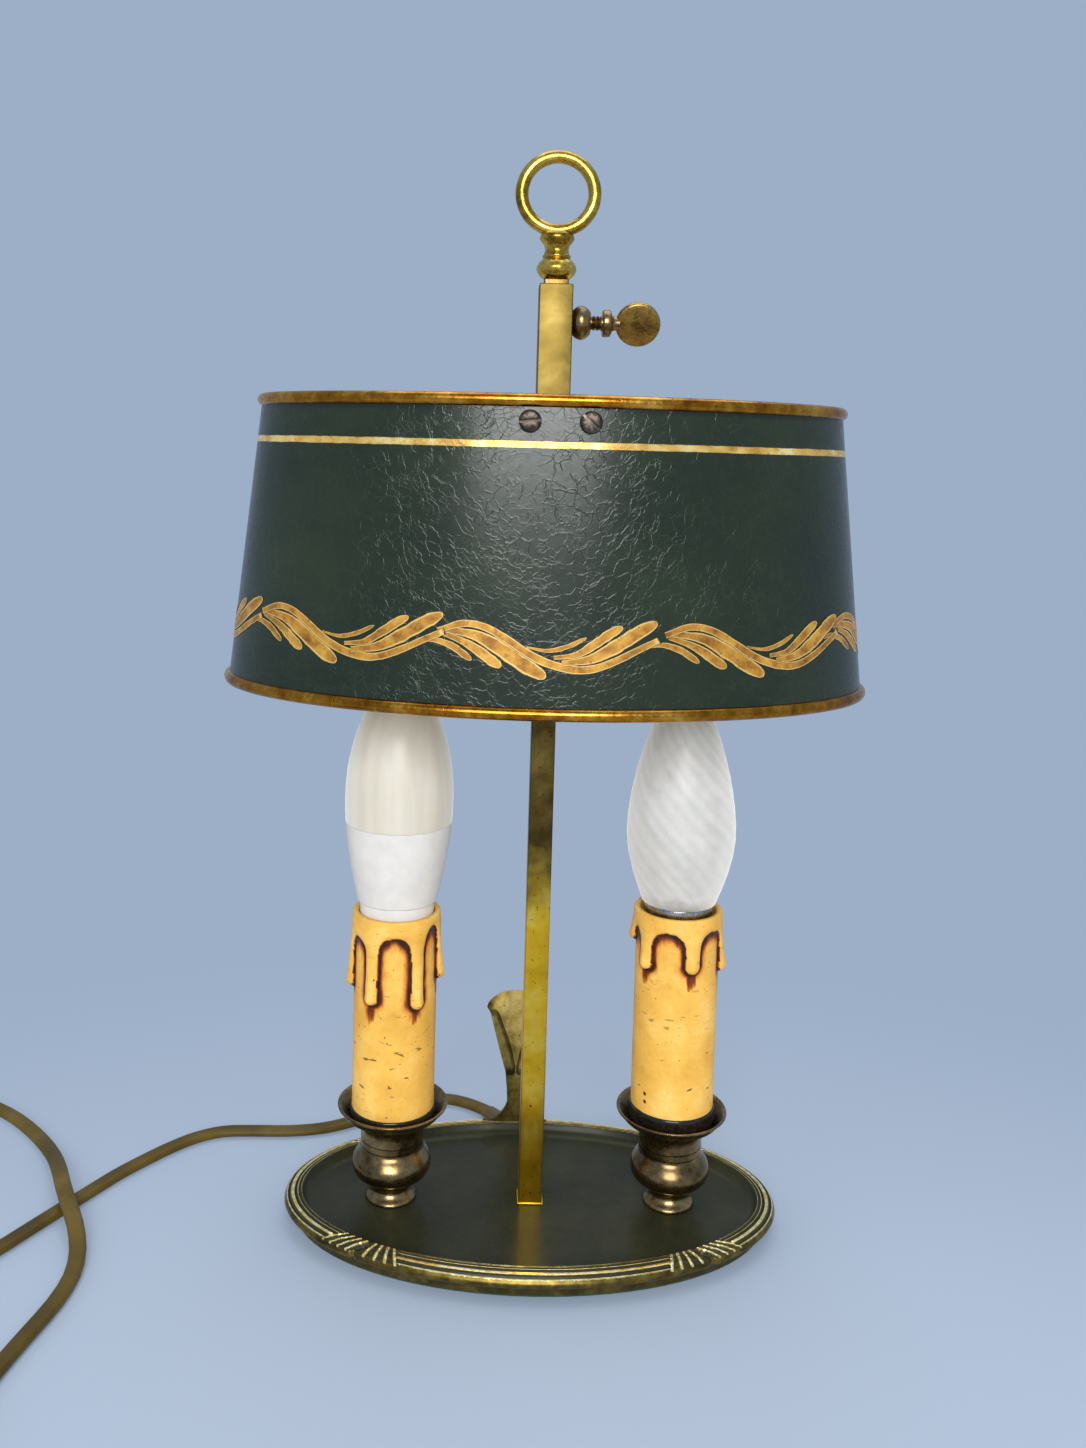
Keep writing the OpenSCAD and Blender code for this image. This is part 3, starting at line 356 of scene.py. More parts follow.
cord = {"width": 5.4, "thick": 3.2, "waist": 0.82, "out": (-3, 47, 2.6), "coilAt": (-190, -112),
        "radii": (36.6, 31, 25.4, 25.4, 31, 36.6), "heights": (1.6, 1.6, 1.6, 4.9, 4.9, 4.9),
        "turns": 5.375, "perTurn": 36}
runIn = [(-14.5, 63.5, 2.0), (-21.5, 69.5, 1.6), (-30, 73, 1.6), (-39.5, 72.5, 1.6),
         (-49, 67.5, 1.6), (-58, 60.5, 1.6), (-67, 54, 1.6), (-77, 49, 1.6), (-89, 46.5, 1.6),
         (-103, 46, 1.6), (-114, 45, 1.6), (-123, 40.5, 1.6), (-131, 33, 1.6), (-138, 24.5, 1.6),
         (-145, 15, 1.6), (-151, 5, 1.6), (-157, -5, 1.6), (-164, -17, 1.6), (-171, -29, 1.6),
         (-179, -40, 1.6), (-189, -48.5, 1.6), (-202, -54, 1.6), (-216, -54.5, 1.6),
         (-229, -50, 1.6), (-240, -41.5, 1.8), (-248, -31, 3), (-251, -22, 4)]
runOut = [(-251, 36, 4), (-250, 45, 3), (-245, 54, 1.8), (-236, 61.5, 1.6), (-224, 64.5, 1.6),
          (-211, 62, 1.6), (-199, 55, 1.6), (-189, 46.5, 1.6), (-179.5, 36.5, 1.6),
          (-171.5, 25.5, 2.3), (-165.5, 14, 4.0), (-160.5, 3, 4.9), (-155, -8, 4.9),
          (-149.5, -18, 4.0), (-145, -29, 2.2), (-143, -41, 1.6), (-144, -54, 1.6),
          (-147, -67, 1.6), (-150, -80, 1.6), (-152.5, -95, 1.6)]
tail = [(-221, -132.4, 4.2), (-227, -126.4, 3.6), (-233, -120.4, 3.6)]


def coilPoints():  # the turns go inwards on the table, then outwards on top of themselves
    points = []
    for k in range(round(cord["turns"] * cord["perTurn"]) + 1):
        turn = k / cord["perTurn"]
        whole = min(int(turn), len(cord["radii"]) - 1)
        after = min(whole + 1, len(cord["radii"]) - 1)
        shift = ease(0.75, 1, turn - whole) if turn < cord["turns"] - 0.38 else 0
        radius = cord["radii"][whole] + (cord["radii"][after] - cord["radii"][whole]) * shift
        height = cord["heights"][whole] + (cord["heights"][after] - cord["heights"][whole]) * shift
        angle = -2*math.pi*turn
        points.append((cord["coilAt"][0] + radius*math.cos(angle),
                       cord["coilAt"][1] + radius*math.sin(angle), height))
    return points


def twinOutline():  # two round cores side by side, with a shallow waist between them
    half, thick = cord["width"] / 2, cord["thick"] / 2
    outline = []
    for k in range(28):
        a = 2*math.pi*k / 28
        x = half * math.copysign(abs(math.cos(a))**0.8, math.cos(a))
        waist = 1 - (1 - cord["waist"]) * math.exp(-(x / 0.8)**2)
        y = thick * waist * math.copysign(abs(math.sin(a))**0.85, math.sin(a))
        outline.append((x, y))
    return outline


def cordMesh(name, line, outline):  # the outline is swept along the line as a bevelled curve
    startClean()
    shape = bpy.data.curves.new(name + "Outline", "CURVE")
    spline = shape.splines.new("POLY")
    spline.points.add(len(outline) - 1)
    for point, (x, y) in zip(spline.points, outline):
        point.co = (x * mm, y * mm, 0, 1)
    spline.use_cyclic_u = True
    section = bpy.data.objects.new(name + "Outline", shape)
    bpy.context.scene.collection.objects.link(section)
    curve = bpy.data.curves.new(name, "CURVE")
    curve.dimensions = "3D"
    curve.twist_mode = "Z_UP"
    path = curve.splines.new("POLY")
    path.points.add(len(line) - 1)
    for point, spot in zip(path.points, line):
        point.co = (spot[0] * mm, spot[1] * mm, spot[2] * mm, 1)
    curve.bevel_mode = "OBJECT"
    curve.bevel_object = section
    curve.use_fill_caps = True
    obj = bpy.data.objects.new(name, curve)
    bpy.context.scene.collection.objects.link(obj)
    choose(obj)
    bpy.ops.object.convert(target="MESH")
    obj = bpy.context.object
    bpy.data.objects.remove(section)
    tidyMesh(obj)
    return obj


def lineLength(line):
    return sum((Vector(b) - Vector(a)).length for a, b in zip(line, line[1:])) * mm


def flexFinish():  # aged olive flex: satin and a little dirty
    material, add, shader, place = newFinish("agedOliveFlex", Roughness=0.5, Specular_IOR_Level=0.3)
    broad = add("TexNoise", {"Vector": place, "Scale": 1000/22, "Detail": 3})
    colour = add("ValToRGB", [broad], stops=[(0.35, "#443704"), (0.55, "#58480b"), (0.75, "#6d5c24")])
    dust = add("TexNoise", {"Vector": place, "Scale": 1000/1.2, "Detail": 4, "Roughness": 0.7})
    dirt = add("MapRange", [dust, 0.55, 0.75, 0, 0.35])
    colour = add("Mix", {0: dirt, 6: colour, 7: shown("#4a3c14")}, 2, data_type="RGBA")
    plug(shader, Base_Color=colour, Roughness=add("MapRange", [dust, 0.3, 0.7, 0.38, 0.6]),
         Normal=add("Bump", {"Height": dust, "Distance": 0.04*mm}))
    return material


flex = flexFinish()


def makeCords():
    firstLine = flow(runIn, 3)
    secondLine = flow(runOut + coilPoints() + tail, 2)
    first = cordMesh("flexIn", firstLine, twinOutline())
    second = cordMesh("flexOut", secondLine, twinOutline())
    finishPiece(first, flex, "lamp", ["cord_run_in"], 60)
    finishPiece(second, flex, "lamp", ["cord_run_out", "cord_coil", "cord_tail"], 60)
    return (first, firstLine), (second, secondLine)


cordIn, cordOut = makeCords()
print("the cords are laid")


# Metal finishes

def metalFinish(name, look):
    # Rubbed metal: clean and tarnished patches, dark pits, and fine scratches in the gloss
    material, add, shader, place = newFinish(name, Metallic=1.0)
    patch, pitStart = look["patch"], look.get("pitStart", 0.68)
    broad = add("TexNoise", {"Vector": place, "Scale": 1000/patch, "Detail": 4, "Roughness": 0.6,
                             "Distortion": 0.4})
    fine = add("TexNoise", {"Vector": place, "Scale": 1000/(patch/7), "Detail": 5, "Roughness": 0.65})
    most = add("Math", [broad, 0.65], operation="MULTIPLY")
    rest = add("Math", [fine, 0.35], operation="MULTIPLY")
    both = add("Math", [most, rest], operation="ADD")
    colour = add("ValToRGB", [both], stops=[(0.36, look["dark"]), (0.5, look["base"]),
                                            (0.64, look["light"])])
    pits = add("TexNoise", {"Vector": place, "Scale": 1000/look.get("pit", 0.9), "Detail": 2})
    pitted = add("MapRange", [pits, pitStart, pitStart + 0.06, 0, 0.85])
    colour = add("Mix", {0: pitted, 6: colour, 7: shown(look.get("pitColour", "#241a0c"))}, 2,
                 data_type="RGBA")
    dull = add("Math", [pitted, 0.4], operation="MULTIPLY")
    wear = add("Math", [fine, dull], operation="ADD")
    gloss = add("MapRange", [wear, 0.3, 0.8, look["rough"][0], look["rough"][1]])
    grain = add("Mapping", {"Vector": place, "Scale": look.get("grain", (1, 1, 8))})
    drag = add("TexNoise", {"Vector": grain, "Scale": 1000/2.2, "Detail": 4, "Roughness": 0.6})
    scratch = add("Math", [drag, 0.25], operation="MULTIPLY")
    height = add("Math", [scratch, pitted], operation="SUBTRACT")
    plug(shader, Base_Color=colour, Roughness=gloss,
         Normal=add("Bump", {"Height": height, "Distance": look.get("relief", 0.05) * mm}))
    return material


agedBrass = metalFinish("rubbedAgedBrass", {
    "base": "#a98a38", "dark": "#6f5822", "light": "#cbab52", "patch": 12, "rough": (0.2, 0.4)})
ringBrass = metalFinish("castRingBrass", {
    "base": "#c0993c", "dark": "#7f6224", "light": "#e6c663", "patch": 8, "rough": (0.2, 0.34),
    "pit": 1.5, "pitStart": 0.71, "grain": (1, 1, 1), "relief": 0.01})
patina = metalFinish("brownPatinaBrass", {
    "base": "#836c47", "dark": "#57452d", "light": "#a88f60", "patch": 16, "rough": (0.22, 0.36),
    "grain": (1, 1, 6), "pitStart": 0.75, "relief": 0.015})
thumbBrass = metalFinish("handledThumbBrass", {
    "base": "#ae8d4a", "dark": "#6e5430", "light": "#cbab62", "patch": 6, "rough": (0.28, 0.44)})
giltRim = metalFinish("wornGiltRim", {
    "base": "#b0731f", "dark": "#74440f", "light": "#dfa646", "patch": 18, "rough": (0.17, 0.33),
    "pit": 1.6, "pitStart": 0.68, "pitColour": "#3f2410"})
screwMetal = metalFinish("dullScrewBrass", {
    "base": "#544b42", "dark": "#38312b", "light": "#72685b", "patch": 4, "rough": (0.3, 0.48)})
nickel = metalFinish("nickelledCap", {
    "base": "#a9a9a4", "dark": "#7f7f7b", "light": "#c4c4bf", "patch": 5, "rough": (0.2, 0.35)})
steel = metalFinish("zincedSteel", {
    "base": "#9a9a94", "dark": "#74746f", "light": "#b5b5ae", "patch": 5, "rough": (0.25, 0.4)})
contactBrass = metalFinish("stampedContactBrass", {
    "base": "#c7a44a", "dark": "#96782e", "light": "#dcc070", "patch": 4, "rough": (0.2, 0.35)})


def stemFinish():
    # Bright rubbed brass low down; higher up its colour turns to a duller brown, a painted dark reflection
    material, add, shader, place = newFinish("brightStemBrass", Metallic=1.0)
    height = add("SeparateXYZ", [place], 2)
    wander = add("TexNoise", {"Vector": place, "Scale": 1000/14, "Detail": 4, "Roughness": 0.6})
    centred = add("Math", [wander, 0.5], operation="SUBTRACT")
    drift = add("Math", [centred, 0.05], operation="MULTIPLY")
    ragged = add("Math", [height, drift], operation="ADD")
    # painted dark reflection: the colour is mixed to the duller brown above about 0.1 m
    level = add("MapRange", [ragged, 0.1, 0.128])
    bright = add("TexNoise", {"Vector": place, "Scale": 1000/13, "Detail": 4, "Roughness": 0.55})
    lowerBrass = add("ValToRGB", [bright], stops=[(0.32, "#cf9f1c"), (0.5, "#edbb2e"), (0.68, "#f8d65c")])
    brown = add("TexNoise", {"Vector": place, "Scale": 1000/10, "Detail": 4, "Roughness": 0.6})
    dull = add("ValToRGB", [brown], stops=[(0.35, "#4a3b1a"), (0.5, "#624f25"), (0.65, "#7c6631")])
    colour = add("Mix", {0: level, 6: lowerBrass, 7: dull}, 2, data_type="RGBA")
    speck = add("TexNoise", {"Vector": place, "Scale": 1000/1.1, "Detail": 2})
    specks = add("MapRange", [speck, 0.69, 0.73, 0, 0.9])
    colour = add("Mix", {0: specks, 6: colour, 7: shown("#2a1c08")}, 2, data_type="RGBA")
    grain = add("Mapping", {"Vector": place, "Scale": (1, 1, 0.12)})
    streak = add("TexNoise", {"Vector": grain, "Scale": 1000/0.9, "Detail": 3, "Roughness": 0.6})
    scratch = add("Math", [streak, 0.3], operation="MULTIPLY")
    height = add("Math", [scratch, specks], operation="SUBTRACT")
    plug(shader, Base_Color=colour, Roughness=add("MapRange", [streak, 0.3, 0.7, 0.28, 0.4]),
         Normal=add("Bump", {"Height": height, "Distance": 0.03*mm}))
    return material


stemBrass = stemFinish()


# Tray

tray = {"halfLong": 83.5, "halfWide": 48.5, "corners": 1440, "tieMiddle": 47.4, "tieFade": 1.2,
        "tieReach": 6.5, "tieLow": 4.5, "tieTop": 8.4, "tieFall": 1.2, "tieFlat": 0.8,
        "ribHeight": 0.6, "ribWide": 0.42, "notch": 1.0, "notchDeep": 0.9, "notchAt": -0.6, "notchWide": 0.75,
        "slotAt": (-3, 47), "slotTurn": 125, "slotSize": (20, 8.6, 8), "slotShift": 1.5, "slotTop": 4.8}
traySection = [  # set back from the rim's edge, height, and how much gold and painted highlight shows
    (-30, 5.2, 0), (-13, 5.2, 0), (-10.5, 5.2, 0), (-8.9, 5.35, 0), (-7.6, 6.0, 0), (-6.8, 7.0, 0),
    (-6.35, 7.9, -0.1), (-6.05, 8.5, 0), (-5.75, 8.8, 0.62), (-5.45, 8.75, 0.3), (-5.25, 8.4, -0.15),
    (-5.0, 8.25, -0.25), (-4.8, 8.4, -0.1), (-4.5, 8.65, 0.9), (-4.25, 8.55, 0.2), (-4.0, 8.1, -0.25),
    (-3.8, 7.9, -0.25), (-3.55, 8.1, -0.1), (-3.25, 8.4, 0.95), (-2.6, 8.4, 1.1), (-2.0, 8.15, 0.15),
    (-1.75, 7.7, -0.25), (-1.5, 7.35, -0.3), (-1.3, 7.5, -0.1), (-1.0, 7.7, 1.0), (-0.75, 7.5, 0.6),
    (-0.5, 7.1, 0.36), (-0.25, 6.7, 0.4), (-0.05, 6.2, 0.38), (0, 5.7, 0.34), (-0.15, 5.3, 0.22),
    (-0.5, 4.95, 0.14), (-1.1, 4.65, 0.1), (-2.3, 4.25, 0.08), (-3.1, 3.5, 0.12), (-3.6, 2.6, 0.18),
    (-3.8, 1.8, 0.18), (-3.8, 0.7, 0.14), (-5.6, 0.7, 0), (-6.2, 4.2, 0)]
# Each raised line of a tie: degrees from the tie's middle at the inner and the outer edge
tieLines = [(-8.6, -11.6), (-6.2, -8.8), (-3.9, -6.0), (-1.7, -3.2), (1.0, 2.6), (2.8, 5.8),
            (4.6, 8.8), (6.4, 11.6)]


def ribOf(angle, across):  # how near a point is to a raised line, and whether it is in the tie
    spots = [near + (far - near) * across for near, far in tieLines]
    fade = tray["tieFade"]
    if angle < spots[0] - fade or angle > spots[-1] + fade:
        return 0, 0
    nearest = min(abs(angle - spot) for spot in spots)
    inside = min(ease(spots[0] - fade, spots[0], angle), ease(-spots[-1] - fade, -spots[-1], -angle))
    return math.exp(-(nearest / tray["ribWide"])**2), inside


def makeTray():
    rings = [(tray["halfLong"] + p[0], tray["halfWide"] + p[0], p[1]) for p in traySection]
    obj = ovalStack("trayDish", rings, tray["corners"])
    gold = []
    for vertex in obj.data.vertices:
        x, y, z = vertex.co / mm
        section = min(traySection, key=lambda p: abs(z - p[1]) * 2 + abs(math.hypot(
            x / (tray["halfLong"] + p[0]), y / (tray["halfWide"] + p[0])) - 1) * 60)
        giltAndHighlight = section[2]
        if z > tray["tieLow"] and section[0] > -tray["tieReach"] - 1:
            angle = math.degrees(math.atan2(abs(y) / tray["halfWide"], abs(x) / tray["halfLong"]))
            local = angle - tray["tieMiddle"]
            across = min(1, max(0, (section[0] + tray["tieReach"]) / tray["tieReach"]))
            rib, inside = ribOf(local, across)
            if inside > 0:
                swell = math.sin(math.pi * min(1, across * 1.05)) if section[1] > 6 else 0
                level = tray["tieTop"] - tray["tieFall"] * across
                flat = level - z if section[1] > 7 and section[0] > -5.8 else 0
                notch = math.exp(-((local - tray["notchAt"]) / tray["notchWide"])**2)
                z += inside * (flat * tray["tieFlat"] + tray["ribHeight"] * rib * swell
                               - tray["notchDeep"] * notch * swell)
                inward = inside * notch * tray["notch"] * ease(0.2, 0.8, across)
                x -= math.copysign(inward * 0.5, x)
                y -= math.copysign(inward, y)
                # the gold on the ribs is partly rubbed gilt and partly a painted highlight
                rubbed = max(0.08, rib * 1.25) if section[0] < -0.4 else giltAndHighlight
                giltAndHighlight = giltAndHighlight * (1 - inside) + inside * rubbed
        gold.append(giltAndHighlight)
        vertex.co = Vector((x, y, z)) * mm
    setAttribute(obj, "giltAndHighlight", gold)
    bpy.ops.mesh.primitive_cube_add(size=1)
    cutter = bpy.context.object
    long, wide, tall = tray["slotSize"]
    turn = Matrix.Rotation(math.radians(tray["slotTurn"]), 4, "Z")
    spot = Vector((tray["slotAt"][0], tray["slotAt"][1], tray["slotTop"] - tall/2)) * mm
    cutter.matrix_world = (Matrix.Translation(spot) @ turn
                           @ Matrix.Translation((tray["slotShift"] * mm, 0, 0))
                           @ Matrix.Diagonal((long*mm, wide*mm, tall*mm, 1)))
    bpy.context.view_layer.update()
    carve(obj, cutter)
    finishPiece(obj, trayFinish(), "lamp", ["base_tray"], 40)


def trayFinish():
    # Dark green lacquer under a clear coat; along the raised lines and ribs the gold is partly rubbed-through
    # gilt and partly a painted highlight on the beads
    material, add, shader, place = newFinish("greenLacquerAndGilt", Coat_Weight=0.04, Coat_Roughness=0.06,
                                             Coat_IOR=1.45, Specular_IOR_Level=0.12)
    giltAndHighlight = add("Attribute", out="Fac", attribute_name="giltAndHighlight")
    grain = add("TexNoise", {"Vector": place, "Scale": 1000/0.8, "Detail": 4, "Roughness": 0.7})
    broad = add("TexNoise", {"Vector": place, "Scale": 1000/22, "Detail": 4, "Roughness": 0.6})
    green = add("ValToRGB", [broad], stops=[(0.3, "#24261a"), (0.55, "#2e3022"), (0.75, "#3a3b29")])
    dust = add("MapRange", [grain, 0.4, 0.75, 0, 0.25])
    green = add("Mix", {0: dust, 6: green, 7: shown("#4c4b38")}, 2, data_type="RGBA")
    centred = add("Math", [grain, 0.5], operation="SUBTRACT")
    ragged = add("Math", [centred, 0.5], operation="MULTIPLY")
    goldAndHighlight = add("Math", [giltAndHighlight, ragged], operation="ADD")
    worn = add("MapRange", [goldAndHighlight, 0.48, 0.64])
    half = add("MapRange", [goldAndHighlight, 0.06, 0.3])
    patch = add("TexNoise", {"Vector": place, "Scale": 1000/5, "Detail": 4, "Roughness": 0.6})
    bronze = add("ValToRGB", [patch], stops=[(0.3, "#372d14"), (0.5, "#5f5023"), (0.7, "#8a7838")])
    glint = add("TexNoise", {"Vector": place, "Scale": 1000/2, "Detail": 4, "Roughness": 0.6})
    # the gold runs up to near white: partly bright gilt, partly painted highlight
    gold = add("ValToRGB", [glint], stops=[(0.35, "#d6b95a"), (0.5, "#f2de94"), (0.65, "#fff6c8")])
    colour = add("Mix", {0: half, 6: green, 7: bronze}, 2, data_type="RGBA")
    colour = add("Mix", {0: worn, 6: colour, 7: gold}, 2, data_type="RGBA")
    dents = add("TexNoise", {"Vector": place, "Scale": 1000/9, "Detail": 2})
    fine = add("Math", [grain, 0.2], operation="MULTIPLY")
    height = add("Math", [fine, dents], operation="ADD")
    plug(shader, Base_Color=colour, Metallic=add("Math", [half, 0.85], operation="MULTIPLY"),
         Roughness=add("MapRange", [worn, 0, 1, 0.3, 0.26]),
         Normal=add("Bump", {"Height": height, "Distance": 0.04*mm}))
    return material


def feltFinish():  # green baize with short fibres
    material, add, shader, place = newFinish("greenBaize", Roughness=0.95)
    lie = add("Mapping", {"Vector": place, "Scale": (1, 3, 1)})
    fibre = add("TexNoise", {"Vector": lie, "Scale": 1000/0.6, "Detail": 5, "Roughness": 0.8})
    colour = add("ValToRGB", [fibre], stops=[(0.3, "#1d3324"), (0.6, "#2f5039"), (0.8, "#47684f")])
    plug(shader, Base_Color=colour, Normal=add("Bump", {"Height": fibre, "Distance": 0.15*mm}))
    return material


makeTray()
paintNode("felt_pad", feltFinish())
print("the tray is made")


# Thumb leaf

leaf = {"x": -4.5, "y": 42.9, "low": 12.05, "top": 54.5, "lean": 12, "lip": 0.8, "thick": 1.6,
        "footHalf": 12, "sweep": 9.3, "footZ": 10.05, "cols": 48, "rows": 84,
        "panelLow": (26, 29), "panelHigh": (45.5, 48.5), "hollow": 1.2, "corner": 4.5}
leafEdge = [(12, 2.75), (15.8, 2.9), (21.4, 3.25), (27.8, 3.96), (34.5, 6.1), (42.8, 8.55), (49.5, 10.5),
            (54.5, 10.9)]  # height and half width
leafStep = [(26, 0.2), (28, 0.28), (36, 0.48), (43, 0.7), (47.5, 0.8), (54.5, 0.84)]  # the raised panel


def alongList(spots, z):  # a value read between the points of a list
    z = min(max(z, spots[0][0]), spots[-1][0])
    for (low, first), (high, second) in zip(spots, spots[1:]):
        if z <= high:
            return first + (second - first) * (z - low) / (high - low)


def leafHalf(z):
    half = alongList(leafEdge, z)
    low = (z - leaf["footZ"]) / leaf["sweep"]
    if low < 1:
        half = max(half, leaf["footHalf"] - leaf["sweep"] * math.sqrt(max(0, 1 - (1 - low)**2)))
    return half


def makeLeaf():
    startClean()
    bpy.ops.mesh.primitive_grid_add(x_subdivisions=leaf["cols"], y_subdivisions=leaf["rows"], size=2)
    obj = bpy.context.object
    obj.name = "thumbLeaf"
    for vertex in obj.data.vertices:
        v, w = vertex.co.x, (vertex.co.y + 1) / 2
        z = leaf["footZ"] + (leaf["top"] - leaf["footZ"]) * w
        u = max(0, (z - leaf["low"]) / (leaf["top"] - leaf["low"]))
        step = alongList(leafStep, z)
        lip = leaf["lip"] * ease(step - 0.05, step + 0.05, abs(v))
        lip *= ease(*leaf["panelLow"], z)
        lip *= 1 - ease(*leaf["panelHigh"], z)
        x = v * leafHalf(z) * (1 - 0.04 * ease(0.9, 1, w) * v*v)
        y = leaf["y"] + leaf["lean"] * u**1.4 - leaf["hollow"]*u*v*v - lip
        z -= leaf["corner"] * ease(0.8, 1, w) * abs(v)**3
        vertex.co = Vector((leaf["x"] + x, y, z)) * mm
    wall = obj.modifiers.new("wall", "SOLIDIFY")
    wall.thickness = leaf["thick"] * mm
    wall.offset = 1
    applyAll(obj)
    tidyMesh(obj)
    roundEdges(obj, 0.35, 3, 50)
    finishPiece(obj, leafBrass(), "lamp", ["thumb_leaf"], 50)


def leafBrass():
    return metalFinish("oliveLeafBrass", {
        "base": "#6a5c2c", "dark": "#47391a", "light": "#87774a", "patch": 9, "rough": (0.34, 0.5)})


makeLeaf()


# Stem, ring and what stands in the tray

stem = {"half": 4, "foot": 5.25, "top": 316.6, "flange": (8.8, 8.5, 0.5), "edge": 0.45, "gap": 0.05}
finialProfile = [(0, 0), (4.2, 0), (4.2, 0), (4.9, 0.5), (5.9, 1.5), (6.6, 3.3), (5.9, 5.1), (4.9, 6.2),
                 (4.3, 6.6), (4.3, 6.6), (4.6, 7.0), (4.65, 7.5), (4.2, 8.1), (4.2, 8.1), (3.9, 9.3),
                 (4.2, 10.8), (5.2, 12.2), (5.7, 13.2), (5.2, 14.5), (3, 15.5), (0, 15.8)]
ring = {"rise": 27.7, "radius": 11.9, "bar": 2.15, "filed": 0.12}


def box(name, size, centre):  # a plain block in millimetres, before its edges are worked
    startClean()
    bpy.ops.mesh.primitive_cube_add(size=1, location=Vector(centre) * mm)
    obj = bpy.context.object
    obj.name = name
    obj.scale = Vector(size) * mm
    bpy.ops.object.transform_apply(location=True, rotation=True, scale=True)
    return obj


def makeStem():
    side = 2 * stem["half"]
    tall = stem["top"] - stem["foot"]
    bar = box("squareStem", (side, side, tall), (0, 0, stem["foot"] + tall/2))
    roundEdges(bar, stem["edge"], 3)
    wide, deep, thick = stem["flange"]
    seat = box("stemSeat", (wide, deep, thick), (0, 0, stem["foot"] + thick/2))
    roundEdges(seat, 0.25, 2)
    whole = joined([bar, seat], "squareStem")
    finishPiece(whole, stemBrass, "lamp", ["stem_bar"])


def makeFinial():
    foot = stem["top"] + stem["gap"]
    ball = spun("finialBall", flow(finialProfile, 4), (0, 0, foot), 72)
    startClean()
    bpy.ops.mesh.primitive_torus_add(major_radius=ring["radius"] * mm, minor_radius=ring["bar"] * mm,
                                     major_segments=128, minor_segments=28,
                                     location=(0, 0, (foot + ring["rise"]) * mm),
                                     rotation=(math.pi/2, 0, 0))
    hoop = bpy.context.object
    bpy.ops.object.transform_apply(location=True, rotation=True, scale=True)
    for vertex in hoop.data.vertices:  # the casting was filed by hand, so it is a little uneven
        vertex.co += Vector((0, 1, 0)) * mm * ring["filed"] * noise.noise(vertex.co * 180)
    whole = joined([ball, hoop], "ringFinial")
    finishPiece(whole, ringBrass, "lamp", ["ring_finial"], 50)


makeStem()
makeFinial()
print("the stem and ring are made")


# Candle lights

candle = {"gap": 95, "radius": 13.9, "bore": 12.7, "length": 67.5, "around": 288, "rowStep": 0.42,
          "footRadius": 13.3, "lip": 0.5, "fingerHalf": 2.4, "fingerReach": 11, "shoulder": 1.1,
          "shoulderEnd": 6.5, "relief": 1.0, "tipRelief": 2.0, "wallWide": 1.9, "blend": 4.6, "smear": 5.2,
          "smearHalf": 3.3, "mostGlaze": 1.4, "skirtReach": 22, "wobble": 0.35, "seatFoot": 34.3}
cupProfile = [(0, 5.25), (8.5, 5.25), (8.5, 5.25), (8.75, 5.8), (8.5, 6.5), (7.3, 7.6), (6.6, 8.8),
              (6.6, 9.7), (7.1, 11.0), (8.5, 12.4), (10.6, 13.3), (12.2, 14.5), (13.1, 16.2),
              (13.35, 17.9), (13, 19.8), (12, 21.6), (11, 22.9), (10.6, 23.8), (10.6, 23.8),
              (10.6, 24.2), (10.2, 24.4), (10.6, 24.6), (10.6, 24.6), (10.6, 26.4), (10.6, 26.4),
              (10.2, 26.6), (10.6, 26.8), (10.6, 26.8), (10.6, 29.2), (10.9, 31), (11.4, 32.4),
              (11.5, 33.15), (11.5, 33.15), (0, 33.15)]
panProfile = [(0, 33.2), (11.4, 33.2), (11.4, 33.2), (13.8, 33.7), (16, 35), (17.3, 36.5), (18, 37.4),
              (18.6, 37.9), (18.55, 38.4), (18.1, 38.5), (17.5, 38.2), (16.6, 37.2), (15.2, 35.9),
              (13.4, 34.8), (11.4, 34.3), (11.4, 34.3), (0, 34.3)]
# Each finger of wax: degrees round the sleeve and length below the rim
leftDrips = [(186, 26.4), (240, 28.5), (304, 29.8), (356, 23.4), (40, 25), (88, 29), (137, 22)]
rightDrips = [(173, 12), (216, 18.4), (283, 17.9), (348, 20.6), (32, 17), (78, 22), (126, 18)]
leftSkirt = [(186, 7.8), (212, 7.2), (272, 5.6), (330, 3.2), (18, 5), (64, 6), (112, 7), (160, 6.3)]
rightSkirt = [(195, 4.8), (250, 5), (315, 5), (10, 4.8), (55, 6), (102, 5), (150, 5.4)]


def makeCup(side, name):
    x = side * candle["gap"] / 2
    cup = spun("candleCup" + name, flow(cupProfile, 3), (x, 0, 0), 96)
    finishPiece(cup, patina, "lamp", ["candle_cup_" + name.lower()], 30)
    pan = spun("dripPan" + name, flow(panProfile, 3), (x, 0, 0), 96)
    finishPiece(pan, patina, "lamp", ["drip_pan_" + name.lower()], 30)


def skirtDepth(skirt, angle):  # depth of the wax between its fingers
    total, weight = 0, 0
    for spot, depth in skirt:
        away = abs((angle - spot + 180) % 360 - 180)
        share = math.exp(-(away / candle["skirtReach"])**2) + 1e-6
        total, weight = total + share * depth, weight + share
    return total / weight


def softer(first, second, blend):  # the nearer of two edges, with a fillet where they meet
    h = max(0, blend - abs(first - second)) / blend
    return min(first, second) - h*h*blend/4


